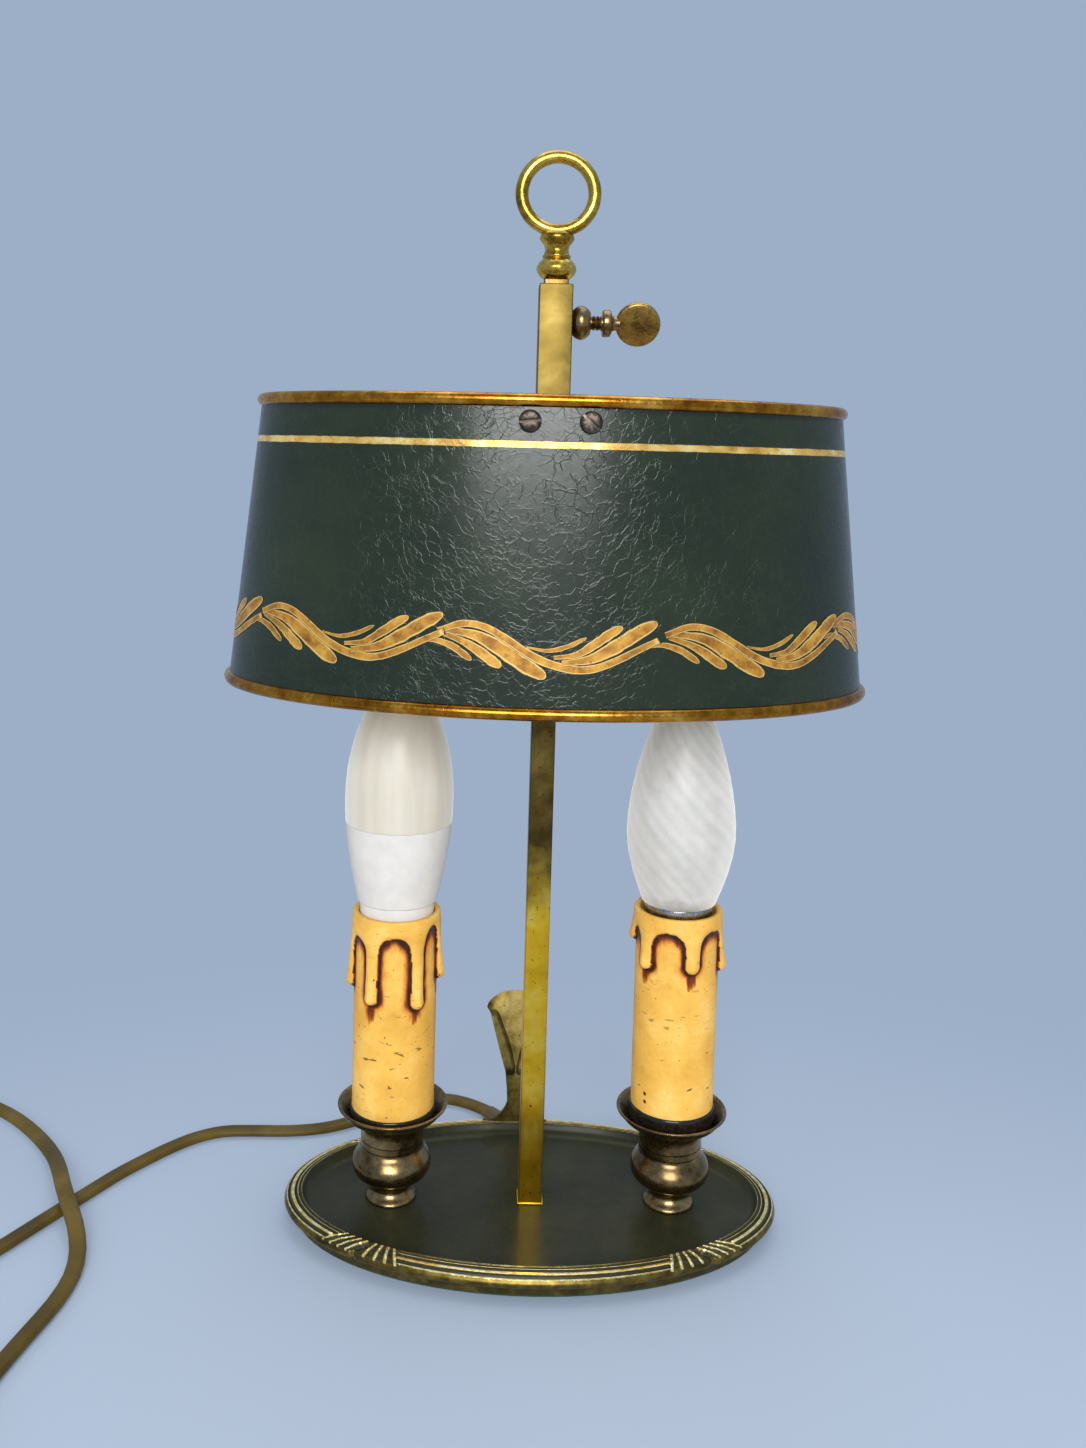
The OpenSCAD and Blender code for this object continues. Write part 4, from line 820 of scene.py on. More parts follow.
def waxAt(angle, depth, drips, skirt):
    # Distance inside (negative) or outside the wax's edge, distance below the skirt, the share of
    # the way down a finger, and how strongly the brown glaze has run below the nearest tip
    radius = candle["radius"]
    wobble = candle["wobble"]
    top = depth - skirtDepth(skirt, angle) + wobble * noise.noise(Vector((angle / 9, depth / 5, 3)))
    edge, down, run = top, 0, 0
    for spot, length in drips:
        lean = wobble * noise.noise(Vector((spot, depth / 7, 1)))
        away = math.radians((angle - spot + 180) % 360 - 180) * radius + lean
        if abs(away) > candle["fingerReach"]:
            continue
        share = min(1, depth / length)
        half = candle["fingerHalf"] * (0.88 + 0.26 * share**5)
        half += candle["shoulder"] * math.exp(-max(0, depth - candle["shoulderEnd"]) / 4.5)
        past = max(0, depth - (length - half))
        edge = softer(edge, math.hypot(away, past) - half, candle["blend"])
        near = max(0, 1 - abs(away) / (half + 1.5))
        down = max(down, share**2 * near)
        reach = candle["smear"] * (1.1 + 0.5 * noise.noise(Vector((spot, length, 2))))
        below = (depth - length) / reach
        if 0 < below < 1:
            ragged = 0.7 * noise.noise(Vector((away * 1.3, spot, depth / 6)))
            width = candle["smearHalf"] * math.sqrt(1 - below**2)
            smear = ease(0, 0.8, 1 - abs(away + 0.8 * below) / width + ragged * below)
            smear *= 1 - 0.5 * below
            run = max(run, smear)
    return edge, top, down, run


def makeSleeve(name, side, foot, drips, skirt, dots, material):
    length, radius = candle["length"], candle["radius"]
    rows = int((length - 1) / candle["rowStep"])
    outer = [(radius, foot + (length - 1) * k / rows) for k in range(rows + 1)]
    top = foot + length
    lip = [(radius + 0.1, top - candle["lip"]), (radius - 0.25, top), (13.0, top - 0.1),
           (candle["bore"], top - 0.6)]
    inner = [(candle["bore"], foot + length * k / 6) for k in (5, 4, 3, 2, 1, 0)]
    profile = [(candle["footRadius"], foot)] + outer + lip + inner + [(candle["footRadius"], foot)]
    x = side * candle["gap"] / 2
    obj = spun("candleSleeve" + name, profile, (x, 0, 0), candle["around"])
    stain = []
    for vertex in obj.data.vertices:
        px, py, pz = vertex.co.x / mm - x, vertex.co.y / mm, vertex.co.z / mm
        reach = math.hypot(px, py)
        if reach < radius - 0.4:
            stain.append(0.15 if reach > 12.9 else 0)
            continue
        angle = math.degrees(math.atan2(py, px)) % 360
        depth = top - pz
        edge, belowSkirt, down, run = waxAt(angle, depth, drips, skirt)
        full = candle["relief"] * (0.75 + 0.25 * min(1, depth / 3)) + candle["tipRelief"] * down
        width = candle["wallWide"] + 0.5 * down
        inside = min(1, max(0, -edge / width))
        rise = full * math.sqrt(1 - (1 - inside)**2)
        lump = 0.08 * noise.noise(Vector((px, py, pz)) * 0.35)
        scale = (reach + rise + (lump if inside > 0 else lump * 0.5)) / reach
        vertex.co = Vector((x + px * scale, py * scale, pz)) * mm
        glaze = 0.0
        if edge > -0.2:  # the glaze lies thickest in the corner beside the wax
            thick = 0.6 + 0.75 * (1 + noise.noise(Vector((angle / 9, depth / 5, 7))))
            fade = 1.15 + 0.8 * (1 - ease(1, 6, belowSkirt))
            glaze = math.exp(-max(0, edge - thick * 0.6) / fade)
        elif edge > -0.5:
            glaze = 0.3 * (1 + (edge + 0.2) / 0.3)
        for spot, up in dots:
            away = math.hypot(math.radians(angle - spot) * radius, pz - foot - up)
            glaze = max(glaze, candle["mostGlaze"] * (1 - ease(0.35, 0.75, away)))
        stain.append(min(candle["mostGlaze"], max(glaze, run if edge > 0 else 0)))
    setAttribute(obj, "stain", stain)
    finishPiece(obj, material, "lamp", ["candle_sleeve_" + name.lower()], 60)


def sleeveFinish():
    # Card dipped in warm yellow wax, with brown glaze run into the edges of the drips
    material, add, shader, place = newFinish("yellowedWaxCard", Roughness=0.5, Specular_IOR_Level=0.35)
    broad = add("TexNoise", {"Vector": place, "Scale": 1000/13, "Detail": 4, "Roughness": 0.6})
    colour = add("ValToRGB", [broad], stops=[(0.3, "#d9a746"), (0.5, "#eab956"), (0.7, "#f4cc72")])
    cloud = add("TexNoise", {"Vector": place, "Scale": 1000/1.6, "Detail": 5, "Roughness": 0.75})
    mottle = add("MapRange", [cloud, 0.5, 0.75, 0, 0.3])
    colour = add("Mix", {0: mottle, 6: colour, 7: shown("#c3913a")}, 2, data_type="RGBA")
    cloud = add("TexNoise", {"Vector": place, "Scale": 1000/5, "Detail": 5, "Roughness": 0.7,
                             "Distortion": 0.8})
    smudge = add("MapRange", [cloud, 0.6, 0.74, 0, 0.5])
    colour = add("Mix", {0: smudge, 6: colour, 7: shown("#b07f2e")}, 2, data_type="RGBA")
    cloud = add("TexNoise", {"Vector": place, "Scale": 1000/1.3, "Detail": 2, "Roughness": 0.4})
    speck = add("MapRange", [cloud, 0.73, 0.75, 0, 0.85])
    colour = add("Mix", {0: speck, 6: colour, 7: shown("#6b3c14")}, 2, data_type="RGBA")
    low = add("MapRange", [add("SeparateXYZ", [place], 2), 0.055, 0.09, 1, 0.25])
    bent = add("Mapping", {"Vector": place, "Rotation": (0.3, 0.5, 0.2), "Scale": (0.35, 0.6, 1.5)})
    lines = add("TexNoise", {"Vector": bent, "Scale": 1000/1.9, "Detail": 1, "Roughness": 0.3,
                             "Distortion": 0.5})
    scratch = add("MapRange", [lines, 0.725, 0.745, 0, 0.85])
    scratch = add("Math", [scratch, low], operation="MULTIPLY")
    colour = add("Mix", {0: scratch, 6: colour, 7: shown("#4f3512")}, 2, data_type="RGBA")
    stain = add("Attribute", out="Fac", attribute_name="stain")
    long = add("Mapping", {"Vector": place, "Scale": (1, 1, 0.35)})
    ragged = add("TexNoise", {"Vector": long, "Scale": 1000/1.1, "Detail": 4, "Roughness": 0.7})
    ragged = add("Math", [ragged, 0.5], operation="SUBTRACT")
    ragged = add("Math", [ragged, 0.6], operation="MULTIPLY")
    run = add("Math", [stain, ragged], operation="ADD")
    amber = add("MapRange", [run, 0.14, 0.5, 0, 0.9])
    brown = add("MapRange", [run, 0.45, 0.72])
    deep = add("MapRange", [run, 0.75, 1.0])
    colour = add("Mix", {0: amber, 6: colour, 7: shown("#c8741d")}, 2, data_type="RGBA")
    colour = add("Mix", {0: brown, 6: colour, 7: shown("#7a3710")}, 2, data_type="RGBA")
    colour = add("Mix", {0: deep, 6: colour, 7: shown("#331206")}, 2, data_type="RGBA")
    grain = add("TexNoise", {"Vector": place, "Scale": 1000/0.7, "Detail": 4, "Roughness": 0.6})
    plug(shader, Base_Color=colour, Roughness=add("MapRange", [brown, 0, 1, 0.5, 0.3]),
         Normal=add("Bump", {"Height": grain, "Distance": 0.04*mm}))
    return material


def seatFinish():  # glossy black rings under the sleeves
    material, add, shader, place = newFinish("blackSeatPlastic", Roughness=0.2)
    dust = add("TexNoise", {"Vector": place, "Scale": 1000/1.4, "Detail": 4, "Roughness": 0.7})
    plug(shader, Base_Color=add("ValToRGB", [dust], stops=[(0.4, "#0f0d0b"), (0.75, "#2a2520")]),
         Roughness=add("MapRange", [dust, 0.3, 0.7, 0.14, 0.34]))
    return material


blackSeat = seatFinish()


def makeSeat(side, name, tall):
    foot = candle["seatFoot"]
    low, top = foot + 0.05, foot + tall - 0.05
    profile = [(6, low), (11.3, low), (11.3, low), (13, 34.6), (14.2, 35.1), (14.5, 35.7),
               (14.5, foot + tall - 0.9), (14.3, foot + tall - 0.2), (14, top), (14, top), (6, top), (6, low)]
    seat = spun("seatRing" + name, flow(profile, 3), (side * candle["gap"] / 2, 0, 0), 96)
    finishPiece(seat, blackSeat, "lamp", ["seat_ring_" + name.lower()], 30)


for side, name in ((-1, "Left"), (1, "Right")):
    makeCup(side, name)
makeSeat(-1, "Left", 3.7)
makeSeat(1, "Right", 6.5)
waxCard = sleeveFinish()
makeSleeve("Left", -1, 38, leftDrips, leftSkirt, [], waxCard)
makeSleeve("Right", 1, 40.8, rightDrips, rightSkirt, [(221, 6.6), (221.5, 3.9)], waxCard)
print("the candles are made")


# Bulbs

led = {"foot": 103.7, "line": 32, "top": 81.4, "radius": 18.1, "wide": 39.5, "wall": 1.2, "taper": 6,
       "tuck": 2.5}
ledCollar = [(0, 0), (11.5, 0), (11.5, 0), (12.1, 0.25), (12.4, 0.8), (12.4, 4.6), (12.2, 5.2),
             (11.8, 5.4), (11.8, 5.4), (0, 5.4)]
flame = {"foot": 110.7, "tall": 77.7, "tip": 78, "radius": 18.2, "wide": 24, "taper": 5.8, "flutes": 19,
         "twist": 3.2, "depth": 0.11, "rows": 120, "around": 312, "wall": 1.2, "capTop": 103.8}
flameBand = [(0, 103.7), (6.1, 103.7), (6.1, 103.7), (9.2, 105.2), (11.2, 106.9), (11.6, 108),
             (11.6, 110.2), (11.3, 110.6), (11.3, 110.6), (0, 110.6)]


def ledWidth(u):
    if u < led["wide"]:
        return led["radius"] - led["taper"] + led["taper"] * math.sin(math.pi/2 * u / led["wide"])
    rest = (u - led["wide"]) / (led["top"] - led["wide"])
    return led["radius"] * max(0, 1 - rest*rest)**0.62


def flameWidth(u):
    if u < flame["wide"]:
        return flame["radius"] - flame["taper"] + flame["taper"] * math.sin(math.pi/2 * u / flame["wide"])
    rest = (u - flame["wide"]) / (flame["tip"] - flame["wide"])
    return flame["radius"] * max(0, 1 - rest**1.7)**0.8


def makeLed():
    x = -candle["gap"] / 2
    foot, line, top = led["foot"], led["line"], led["top"]
    collar = spun("ledCollar", flow(ledCollar, 3), (x, 0, foot), 96)
    white = whitePlastic()
    finishPiece(collar, white, "lamp", ["led_collar"], 40)
    low, tuck = ledCollar[-1][1] + 0.05, led["tuck"]
    body = [(0, low), (ledWidth(low) - 0.4, low)]
    body += [(ledWidth(u), u) for u in [5.7 + (line - 5.9) * k / 26 for k in range(27)]]
    body += [(ledWidth(line) - 0.3, line), (led["radius"] - tuck, line), (led["radius"] - tuck, line - tuck),
             (0, line - tuck)]
    housing = spun("ledHousing", body, (x, 0, foot), 128)
    finishPiece(housing, white, "lamp", ["led_housing"], 40)
    heights = [line + 0.05 + (top - line - 0.05) * math.sin(math.pi/2 * k / 48) for k in range(49)]
    outer = [(ledWidth(u) if k < 48 else 0, u) for k, u in enumerate(heights)]
    inner = [(max(0.0, ledWidth(u) - led["wall"]), u - 0.9*k/47) for k, u in enumerate(heights[:48])][::-1]
    inner[0] = (0, top - 1.6)
    dome = spun("ledDiffuser", inner[-1:] + outer + inner, (x, 0, foot), 128)
    finishPiece(dome, diffuserFinish(), "lamp", ["led_diffuser"], 40)


def whitePlastic():  # moulded white housing with a faint sheen
    material, add, shader, place = newFinish("whiteHousing", Roughness=0.28)
    soil = add("TexNoise", {"Vector": place, "Scale": 1000/7, "Detail": 4, "Roughness": 0.6})
    skin = add("TexNoise", {"Vector": place, "Scale": 1000/0.5, "Detail": 3})
    plug(shader, Base_Color=add("ValToRGB", [soil], stops=[(0.3, "#d0d1d2"), (0.6, "#dcdcdd")]),
         Normal=add("Bump", {"Height": skin, "Distance": 0.01*mm}))
    return material


def diffuserFinish():
    # Milky plastic dome: warm pale grey, painted light that whitens it towards the edge seen from the camera,
    # and faint drawn streaks
    material, add, shader, place = newFinish("milkyDiffuser", Roughness=0.3, Subsurface_Weight=0.1,
                                             Subsurface_Scale=0.003, Specular_IOR_Level=0.4,
                                             Sheen_Weight=0.8, Sheen_Roughness=0.3)
    drawn = add("Mapping", {"Vector": place, "Scale": (1, 1, 0.08)})
    streak = add("TexNoise", {"Vector": drawn, "Scale": 1000/4, "Detail": 3})
    edge = add("LayerWeight", {"Blend": 0.35}, "Facing")
    colour = add("ValToRGB", [streak], stops=[(0.3, "#c9c5ba"), (0.7, "#d4d1c8")])
    # painted light: the colour turns whiter where the dome faces away from the camera
    paintedEdgeLight = add("MapRange", [edge, 0.25, 0.75, 0, 0.9])
    plug(shader, Base_Color=add("Mix", {0: paintedEdgeLight, 6: colour, 7: shown("#fbfaf4")}, 2, data_type="RGBA"))
    return material


def makeFlame():
    x = candle["gap"] / 2
    foot, tall, rows = flame["foot"], flame["tall"], flame["rows"]
    heights = [tall * math.sin(math.pi/2 * k / rows) for k in range(rows + 1)]
    outer = [(flameWidth(u) if k < rows else 0, u) for k, u in enumerate(heights)]
    inner = [(max(0.0, flameWidth(u) - flame["wall"]), u) for u in heights[:-6]][::-1]
    inner[0] = (0, inner[0][1])
    profile = [(flameWidth(0) - flame["wall"], 0)] + outer + inner
    glass = spun("flameGlass", profile, (x, 0, foot), flame["around"])
    pleatShadeAndWisps = []
    for vertex in glass.data.vertices:
        px, py, u = vertex.co.x / mm - x, vertex.co.y / mm, vertex.co.z / mm - foot
        reach = math.hypot(px, py)
        turn = math.atan2(py, px) + math.radians(flame["twist"] * u)
        pleat = abs(math.cos(turn * flame["flutes"] / 2))
        wisp = noise.noise(Vector((5 * math.cos(turn), 5 * math.sin(turn), u / 30)))
        # the colour share stored here is painted shading of the flutes, whiter on the ridges, plus milky
        # wisps
        pleatShadeAndWisps.append(0.5 + 0.5 * (pleat - 0.6) + 0.5 * wisp)
        if reach < 0.3 or u < 0.05:
            continue
        deep = flame["depth"] * min(1, u / 9) * min(1, reach / 9)
        scale = (reach - deep * (1 - pleat)) / reach
        vertex.co = Vector((x + px*scale, py*scale, u + foot)) * mm
    setAttribute(glass, "pleat", pleatShadeAndWisps)
    finishPiece(glass, frostFinish(), "lamp", ["flame_glass"], 60)


def frostFinish():
    # Frosted glass, milky all through, with the flute ridges painted whiter as painted shading, its edge
    # whitened as painted light, and a soft wet gloss
    material, add, shader, place = newFinish("frostedFlameGlass", Roughness=0.3, IOR=1.45,
                                             Specular_IOR_Level=0.35, Subsurface_Weight=0.15,
                                             Subsurface_Scale=0.002, Sheen_Weight=0.9, Sheen_Roughness=0.35)
    pleat = add("Attribute", out="Fac", attribute_name="pleat")
    wisp = add("TexNoise", {"Vector": place, "Scale": 1000/5, "Detail": 4, "Roughness": 0.65})
    ridgeShade = add("Math", [pleat, 0.3], operation="MULTIPLY")
    wisps = add("Math", [wisp, 0.7], operation="MULTIPLY")
    white = add("Math", [ridgeShade, wisps], operation="ADD")
    colour = add("ValToRGB", [white], stops=[(0.25, "#babbbc"), (0.5, "#c4c6c7"), (0.72, "#ced0d2")])
    drift = add("Math", [wisp, 0.004], operation="MULTIPLY")
    up = add("Math", [add("SeparateXYZ", [place], 2), drift], operation="ADD")
    neck = add("MapRange", [up, (flame["foot"] + 2.2)*mm, (flame["foot"] + 6.5)*mm, 0.75, 0])
    colour = add("Mix", {0: neck, 6: colour, 7: shown("#85837e")}, 2, data_type="RGBA")
    edge = add("LayerWeight", {"Blend": 0.35}, "Facing")
    # painted light: the edge seen from the camera is whitened
    paintedEdgeLight = add("MapRange", [edge, 0.2, 0.7, 0, 1])
    colour = add("Mix", {0: paintedEdgeLight, 6: colour, 7: shown("#ffffff")}, 2, data_type="RGBA")
    plug(shader, Base_Color=colour, Roughness=add("MapRange", [wisp, 0.3, 0.7, 0.26, 0.4]))
    return material


def makeFlameBand():
    x = candle["gap"] / 2
    skirt = spun("flameSkirt", flow(flameBand, 3), (x, 0, 0), 96)
    thread = copyNode("flame_cap", "flameCapThread", 0.05, 1)
    choose(thread)
    editAll()
    bpy.ops.mesh.bisect(plane_co=(x*mm, 0, flame["capTop"]*mm), plane_no=(0, 0, 1), clear_outer=True,
                        use_fill=True)
    objectMode()
    whole = joined([skirt, thread], "flameCap")
    finishPiece(whole, nickel, "lamp", ["flame_cap"], 40)


makeLed()
makeFlame()
makeFlameBand()
paintNode("led_cap", nickel)
print("the bulbs are made")


# Slide: tube, boss, thumb screw and bracket

slide = {"tubeHalf": 5.5, "boreHalf": 4.1, "low": 214.8, "high": 314.8, "edge": 0.35, "screwZ": 302.8,
         "bossX": 5.55, "discX": 27.3, "discT": 3, "discTurn": 22}
padHole = [(0, 3.5), (2.7, 3.5), (2.7, 3.5), (2.7, 6), (2.7, 6), (0, 6)]
bossProfile = [(2.7, 0), (3.9, 0), (3.9, 0), (4.3, 0.5), (5.1, 1.4), (5.6, 3.0), (5.1, 4.6),
               (4.3, 5.5), (3.8, 6.0), (3.8, 6.0), (2.7, 6.0), (2.7, 6.0), (2.7, 0)]
discProfile = [(0, 0.15), (6.4, 0.15), (6.4, 0.15), (6.9, 0.25), (7.25, 0.6), (7.4, 1.1), (7.4, 1.9),
               (7.25, 2.4), (6.9, 2.75), (6.4, 2.85), (6.4, 2.85), (0, 2.85)]
# The thumb screw's shank: its plain end, then three turns of thread, then the neck under the disc
screwEnd = [(0, 5.0), (2.5, 5.0), (2.5, 5.0), (2.5, 11.8), (2.5, 11.8)]
screwNeck = [(2.5, 15.5), (2.5, 15.5), (4.1, 15.6), (4.4, 16.1), (4.4, 17.7), (4.1, 18.3), (3.6, 18.5),
             (2.5, 19.0), (2.3, 19.7), (2.2, 21.2), (2.2, 21.2), (0, 21.2)]


def makeTube():
    tall = slide["high"] - slide["low"]
    centre = (0, 0, slide["low"] + tall/2)
    outer = box("squareTube", (2*slide["tubeHalf"], 2*slide["tubeHalf"], tall), centre)
    carve(outer, box("tubeBore", (2*slide["boreHalf"], 2*slide["boreHalf"], tall + 2), centre))
    roundEdges(outer, slide["edge"], 3)
    at = (0, 0, slide["screwZ"])
    carve(outer, spun("padHole", padHole, at, 64, out=(0, 0, 1), along=(1, 0, 0)))
    finishPiece(outer, tubeBrass(), "shade_carriage", ["slide_tube"])


def tubeBrass():
    return metalFinish("scratchedTubeBrass", {
        "base": "#6e5c2c", "dark": "#53451f", "light": "#86743f", "patch": 14, "rough": (0.36, 0.5),
        "grain": (8, 8, 0.5), "pitStart": 0.72, "relief": 0.035})


def makeThumb():
    z = slide["screwZ"]
    boss = spun("screwBoss", flow(bossProfile, 3), (slide["bossX"], 0, z), 64, out=(0, 0, 1), along=(1, 0, 0))
    finishPiece(boss, patina, "shade_carriage", ["screw_boss"], 40)
    thread = []
    for k in range(3):
        thread += [(2.05, 12.2 + 1.2*k), (2.5, 12.8 + 1.2*k)]
    line = flow(screwEnd + thread + screwNeck, 2)
    shank = spun("thumbShank", line, (0, 0, z), 64, out=(0, 0, 1), along=(1, 0, 0))
    disc = spun("thumbDisc", flow(discProfile, 3), (slide["discX"], -slide["discT"]/2, z), 96,
                out=(0, 0, 1), along=(0, 1, 0))
    centre = Vector((slide["discX"], 0, z)) * mm
    turn = Matrix.Rotation(math.radians(slide["discTurn"]), 4, "X")
    disc.data.transform(Matrix.Translation(centre) @ turn @ Matrix.Translation(-centre))
    finishPiece(shank, patina, "thumb_screw", ["thumb_screw"], 40)
    finishPiece(disc, thumbBrass, "thumb_screw", (), 40)


def padFinish():
    material, add, shader, place = newFinish("oldLeatherPad", Roughness=0.7)
    grain = add("TexNoise", {"Vector": place, "Scale": 1000/0.5, "Detail": 4, "Roughness": 0.7})
    plug(shader, Base_Color=add("ValToRGB", [grain], stops=[(0.3, "#5c3820"), (0.7, "#8a5a3a")]),
         Normal=add("Bump", {"Height": grain, "Distance": 0.05*mm}))
    return material


makeTube()
makeThumb()
bracket = copyNode("shade_bracket", "crossBar", 0.3)
finishPiece(bracket, agedBrass, "shade_carriage", ["shade_bracket"])
paintNode("pressure_pad", padFinish())
print("the slide is made")


# Shade

shade = {"low": 184.6, "high": 274.8, "aLow": 104, "bLow": 59.5, "aHigh": 94.5, "bHigh": 54.5,
         "sheet": 0.8, "rim": 2.0, "underRim": 0.7, "corners": 360, "rows": 24, "stripe": (261.2, 263.1),
         "stripeEdge": 0.12}


def wallAt(z, out=0):  # half axes of the shade's sheet at a height
    u = (z - shade["low"]) / (shade["high"] - shade["low"])
    return (shade["aLow"] + (shade["aHigh"] - shade["aLow"]) * u + out,
            shade["bLow"] + (shade["bHigh"] - shade["bLow"]) * u + out)


def makeShell():
    startClean()
    low, high = shade["low"] + shade["underRim"], shade["high"] - shade["underRim"]
    a, b = wallAt(low)
    bpy.ops.mesh.primitive_circle_add(vertices=shade["corners"], radius=mm, fill_type="NOTHING",
                                      location=(0, 0, low * mm))
    obj = bpy.context.object
    obj.name = "shadeShell"
    obj.scale = (a, b, 1)
    bpy.ops.object.transform_apply(location=True, rotation=True, scale=True)
    editAll()
    step = (high - low) / shade["rows"]
    for k in range(shade["rows"]):
        z = low + step * (k + 1)
        aNext, bNext = wallAt(z)
        bpy.ops.mesh.extrude_edges_move(TRANSFORM_OT_translate={"value": (0, 0, step * mm)})
        bpy.ops.transform.resize(value=(aNext / a, bNext / b, 1), center_override=(0, 0, z * mm))
        a, b = aNext, bNext
    bpy.ops.mesh.select_all(action="SELECT")
    bpy.ops.mesh.remove_doubles(threshold=1e-6)
    bpy.ops.mesh.normals_make_consistent(inside=False)
    objectMode()
    wall = obj.modifiers.new("sheet", "SOLIDIFY")
    wall.thickness = shade["sheet"] * mm
    wall.offset = 0
    applyAll(obj)
    inward = []
    for vertex in obj.data.vertices:
        x, y, z = vertex.co / mm
        a, b = wallAt(z)
        inward.append(1.0 if math.hypot(x / a, y / b) < 1 else 0.0)
    setAttribute(obj, "inside", inward)
    finishPiece(obj, shadeFinish(), "shade_carriage", ["shade_shell"], 60)


def shadeFinish():
    # Dark green lacquer that has crazed into small cells; the cracks catch the light
    material, add, shader, place = newFinish("crazedGreenLacquer", Specular_IOR_Level=0.55)
    wander = add("TexNoise", {"Vector": place, "Scale": 150, "Detail": 4}, 1)
    small = add("VectorMath", [wander, (0.006, 0.006, 0.006)], operation="MULTIPLY")
    bent = add("VectorMath", [place, small], operation="ADD")
    cells = add("TexVoronoi", {"Vector": bent, "Scale": 250, "Randomness": 1.0}, "Distance",
                feature="DISTANCE_TO_EDGE")
    crumbs = add("TexVoronoi", {"Vector": bent, "Scale": 460, "Randomness": 1.0}, "Distance",
                 feature="DISTANCE_TO_EDGE")
    cloud = add("TexNoise", {"Vector": place, "Scale": 1000/7, "Detail": 3})
    broken = add("MapRange", [cloud, 0.44, 0.58])
    cloud = add("TexNoise", {"Vector": place, "Scale": 1000/5, "Detail": 3})
    whole = add("MapRange", [cloud, 0.36, 0.52])
    crack = add("Math", [add("MapRange", [cells, 0.0, 0.045, 1, 0]), whole], operation="MULTIPLY")
    fine = add("Math", [add("MapRange", [crumbs, 0.0, 0.05, 1, 0]), broken], operation="MULTIPLY")
    faint = add("Math", [fine, 0.6], operation="MULTIPLY")
    crack = add("Math", [crack, faint], operation="MAXIMUM")
    cloud = add("TexNoise", {"Vector": place, "Scale": 1000/26, "Detail": 3})
    share = add("MapRange", [cloud, 0.3, 0.6, 0.2, 1])
    crack = add("Math", [crack, share], operation="MULTIPLY")
    broad = add("TexNoise", {"Vector": place, "Scale": 1000/40, "Detail": 4, "Roughness": 0.55})
    green = add("ValToRGB", [broad], stops=[(0.3, "#0f1a09"), (0.5, "#16220d"), (0.7, "#1e2a13")])
    cloud = add("TexNoise", {"Vector": place, "Scale": 1000/1.6, "Detail": 4, "Roughness": 0.7})
    dust = add("MapRange", [cloud, 0.5, 0.8, 0, 0.22])
    green = add("Mix", {0: dust, 6: green, 7: shown("#333e2c")}, 2, data_type="RGBA")
    # painted glint: the cracks are made a little paler, besides their bump
    crackGlint = add("Math", [crack, 0.06], operation="MULTIPLY")
    colour = add("Mix", {0: crackGlint, 6: green, 7: shown("#4c5850")}, 2, data_type="RGBA")

    # The gilt stripe below the top rim, worn thin in places, and a painted shadow under the rim
    low, high, edge = *shade["stripe"], shade["stripeEdge"]
    cloud = add("TexNoise", {"Vector": place, "Scale": 1000/4, "Detail": 4})
    centred = add("Math", [cloud, 0.5], operation="SUBTRACT")
    drift = add("Math", [centred, 0.0004], operation="MULTIPLY")
    z = add("Math", [add("SeparateXYZ", [place], 2), drift], operation="ADD")
    above = add("MapRange", [z, (low - edge)*mm, (low + edge)*mm])
    below = add("MapRange", [z, (high - edge)*mm, (high + edge)*mm, 1, 0])
    band = add("Math", [above, below], operation="MULTIPLY")
    cloud = add("TexNoise", {"Vector": place, "Scale": 1000/2.5, "Detail": 5, "Roughness": 0.7})
    worn = add("Math", [add("MapRange", [cloud, 0.32, 0.44]), 0.6], operation="MAXIMUM")
    band = add("Math", [band, worn], operation="MULTIPLY")
    cloud = add("TexNoise", {"Vector": place, "Scale": 1000/6, "Detail": 4})
    gold = add("ValToRGB", [cloud], stops=[(0.3, "#c39440"), (0.5, "#e3bd66"), (0.7, "#f5e2a2")])
    colour = add("Mix", {0: band, 6: colour, 7: gold}, 2, data_type="RGBA")
    # painted shadow: a dark band just under the top rim
    paintedRimShadow = add("MapRange", [z, (shade["high"] - 3.6)*mm, (shade["high"] - 2.3)*mm, 0, 0.85])
    colour = add("Mix", {0: paintedRimShadow, 6: colour, 7: shown("#0d0f0a")}, 2, data_type="RGBA")

    # The inner side is painted cream
    inside = add("Attribute", out="Fac", attribute_name="inside")
    cloud = add("TexNoise", {"Vector": place, "Scale": 1000/18, "Detail": 4})
    cream = add("ValToRGB", [cloud], stops=[(0.3, "#c9bd9d"), (0.7, "#e2d9c0")])
    lining = add("MapRange", [inside, 0.4, 0.6])
    colour = add("Mix", {0: lining, 6: colour, 7: cream}, 2, data_type="RGBA")
    outsideOnly = add("MapRange", [inside, 0.0, 0.2, 1, 0])
    unpainted = add("Math", [1.0, band], operation="SUBTRACT")
    bare = add("Math", [outsideOnly, unpainted], operation="MULTIPLY")
    cloud = add("TexNoise", {"Vector": place, "Scale": 1000/3.5, "Detail": 3})
    swell = add("Math", [cloud, 0.5], operation="MULTIPLY")
    height = add("Math", [crack, swell], operation="ADD")
    height = add("Math", [height, bare], operation="MULTIPLY")
    leafMetal = add("Math", [band, 0.5], operation="MULTIPLY")
    plug(shader, Base_Color=colour, Metallic=add("Math", [leafMetal, outsideOnly], operation="MULTIPLY"),
         Roughness=add("MapRange", [crack, 0, 1, 0.22, 0.36]),
         Normal=add("Bump", {"Height": height, "Distance": 0.055*mm}))
    return material


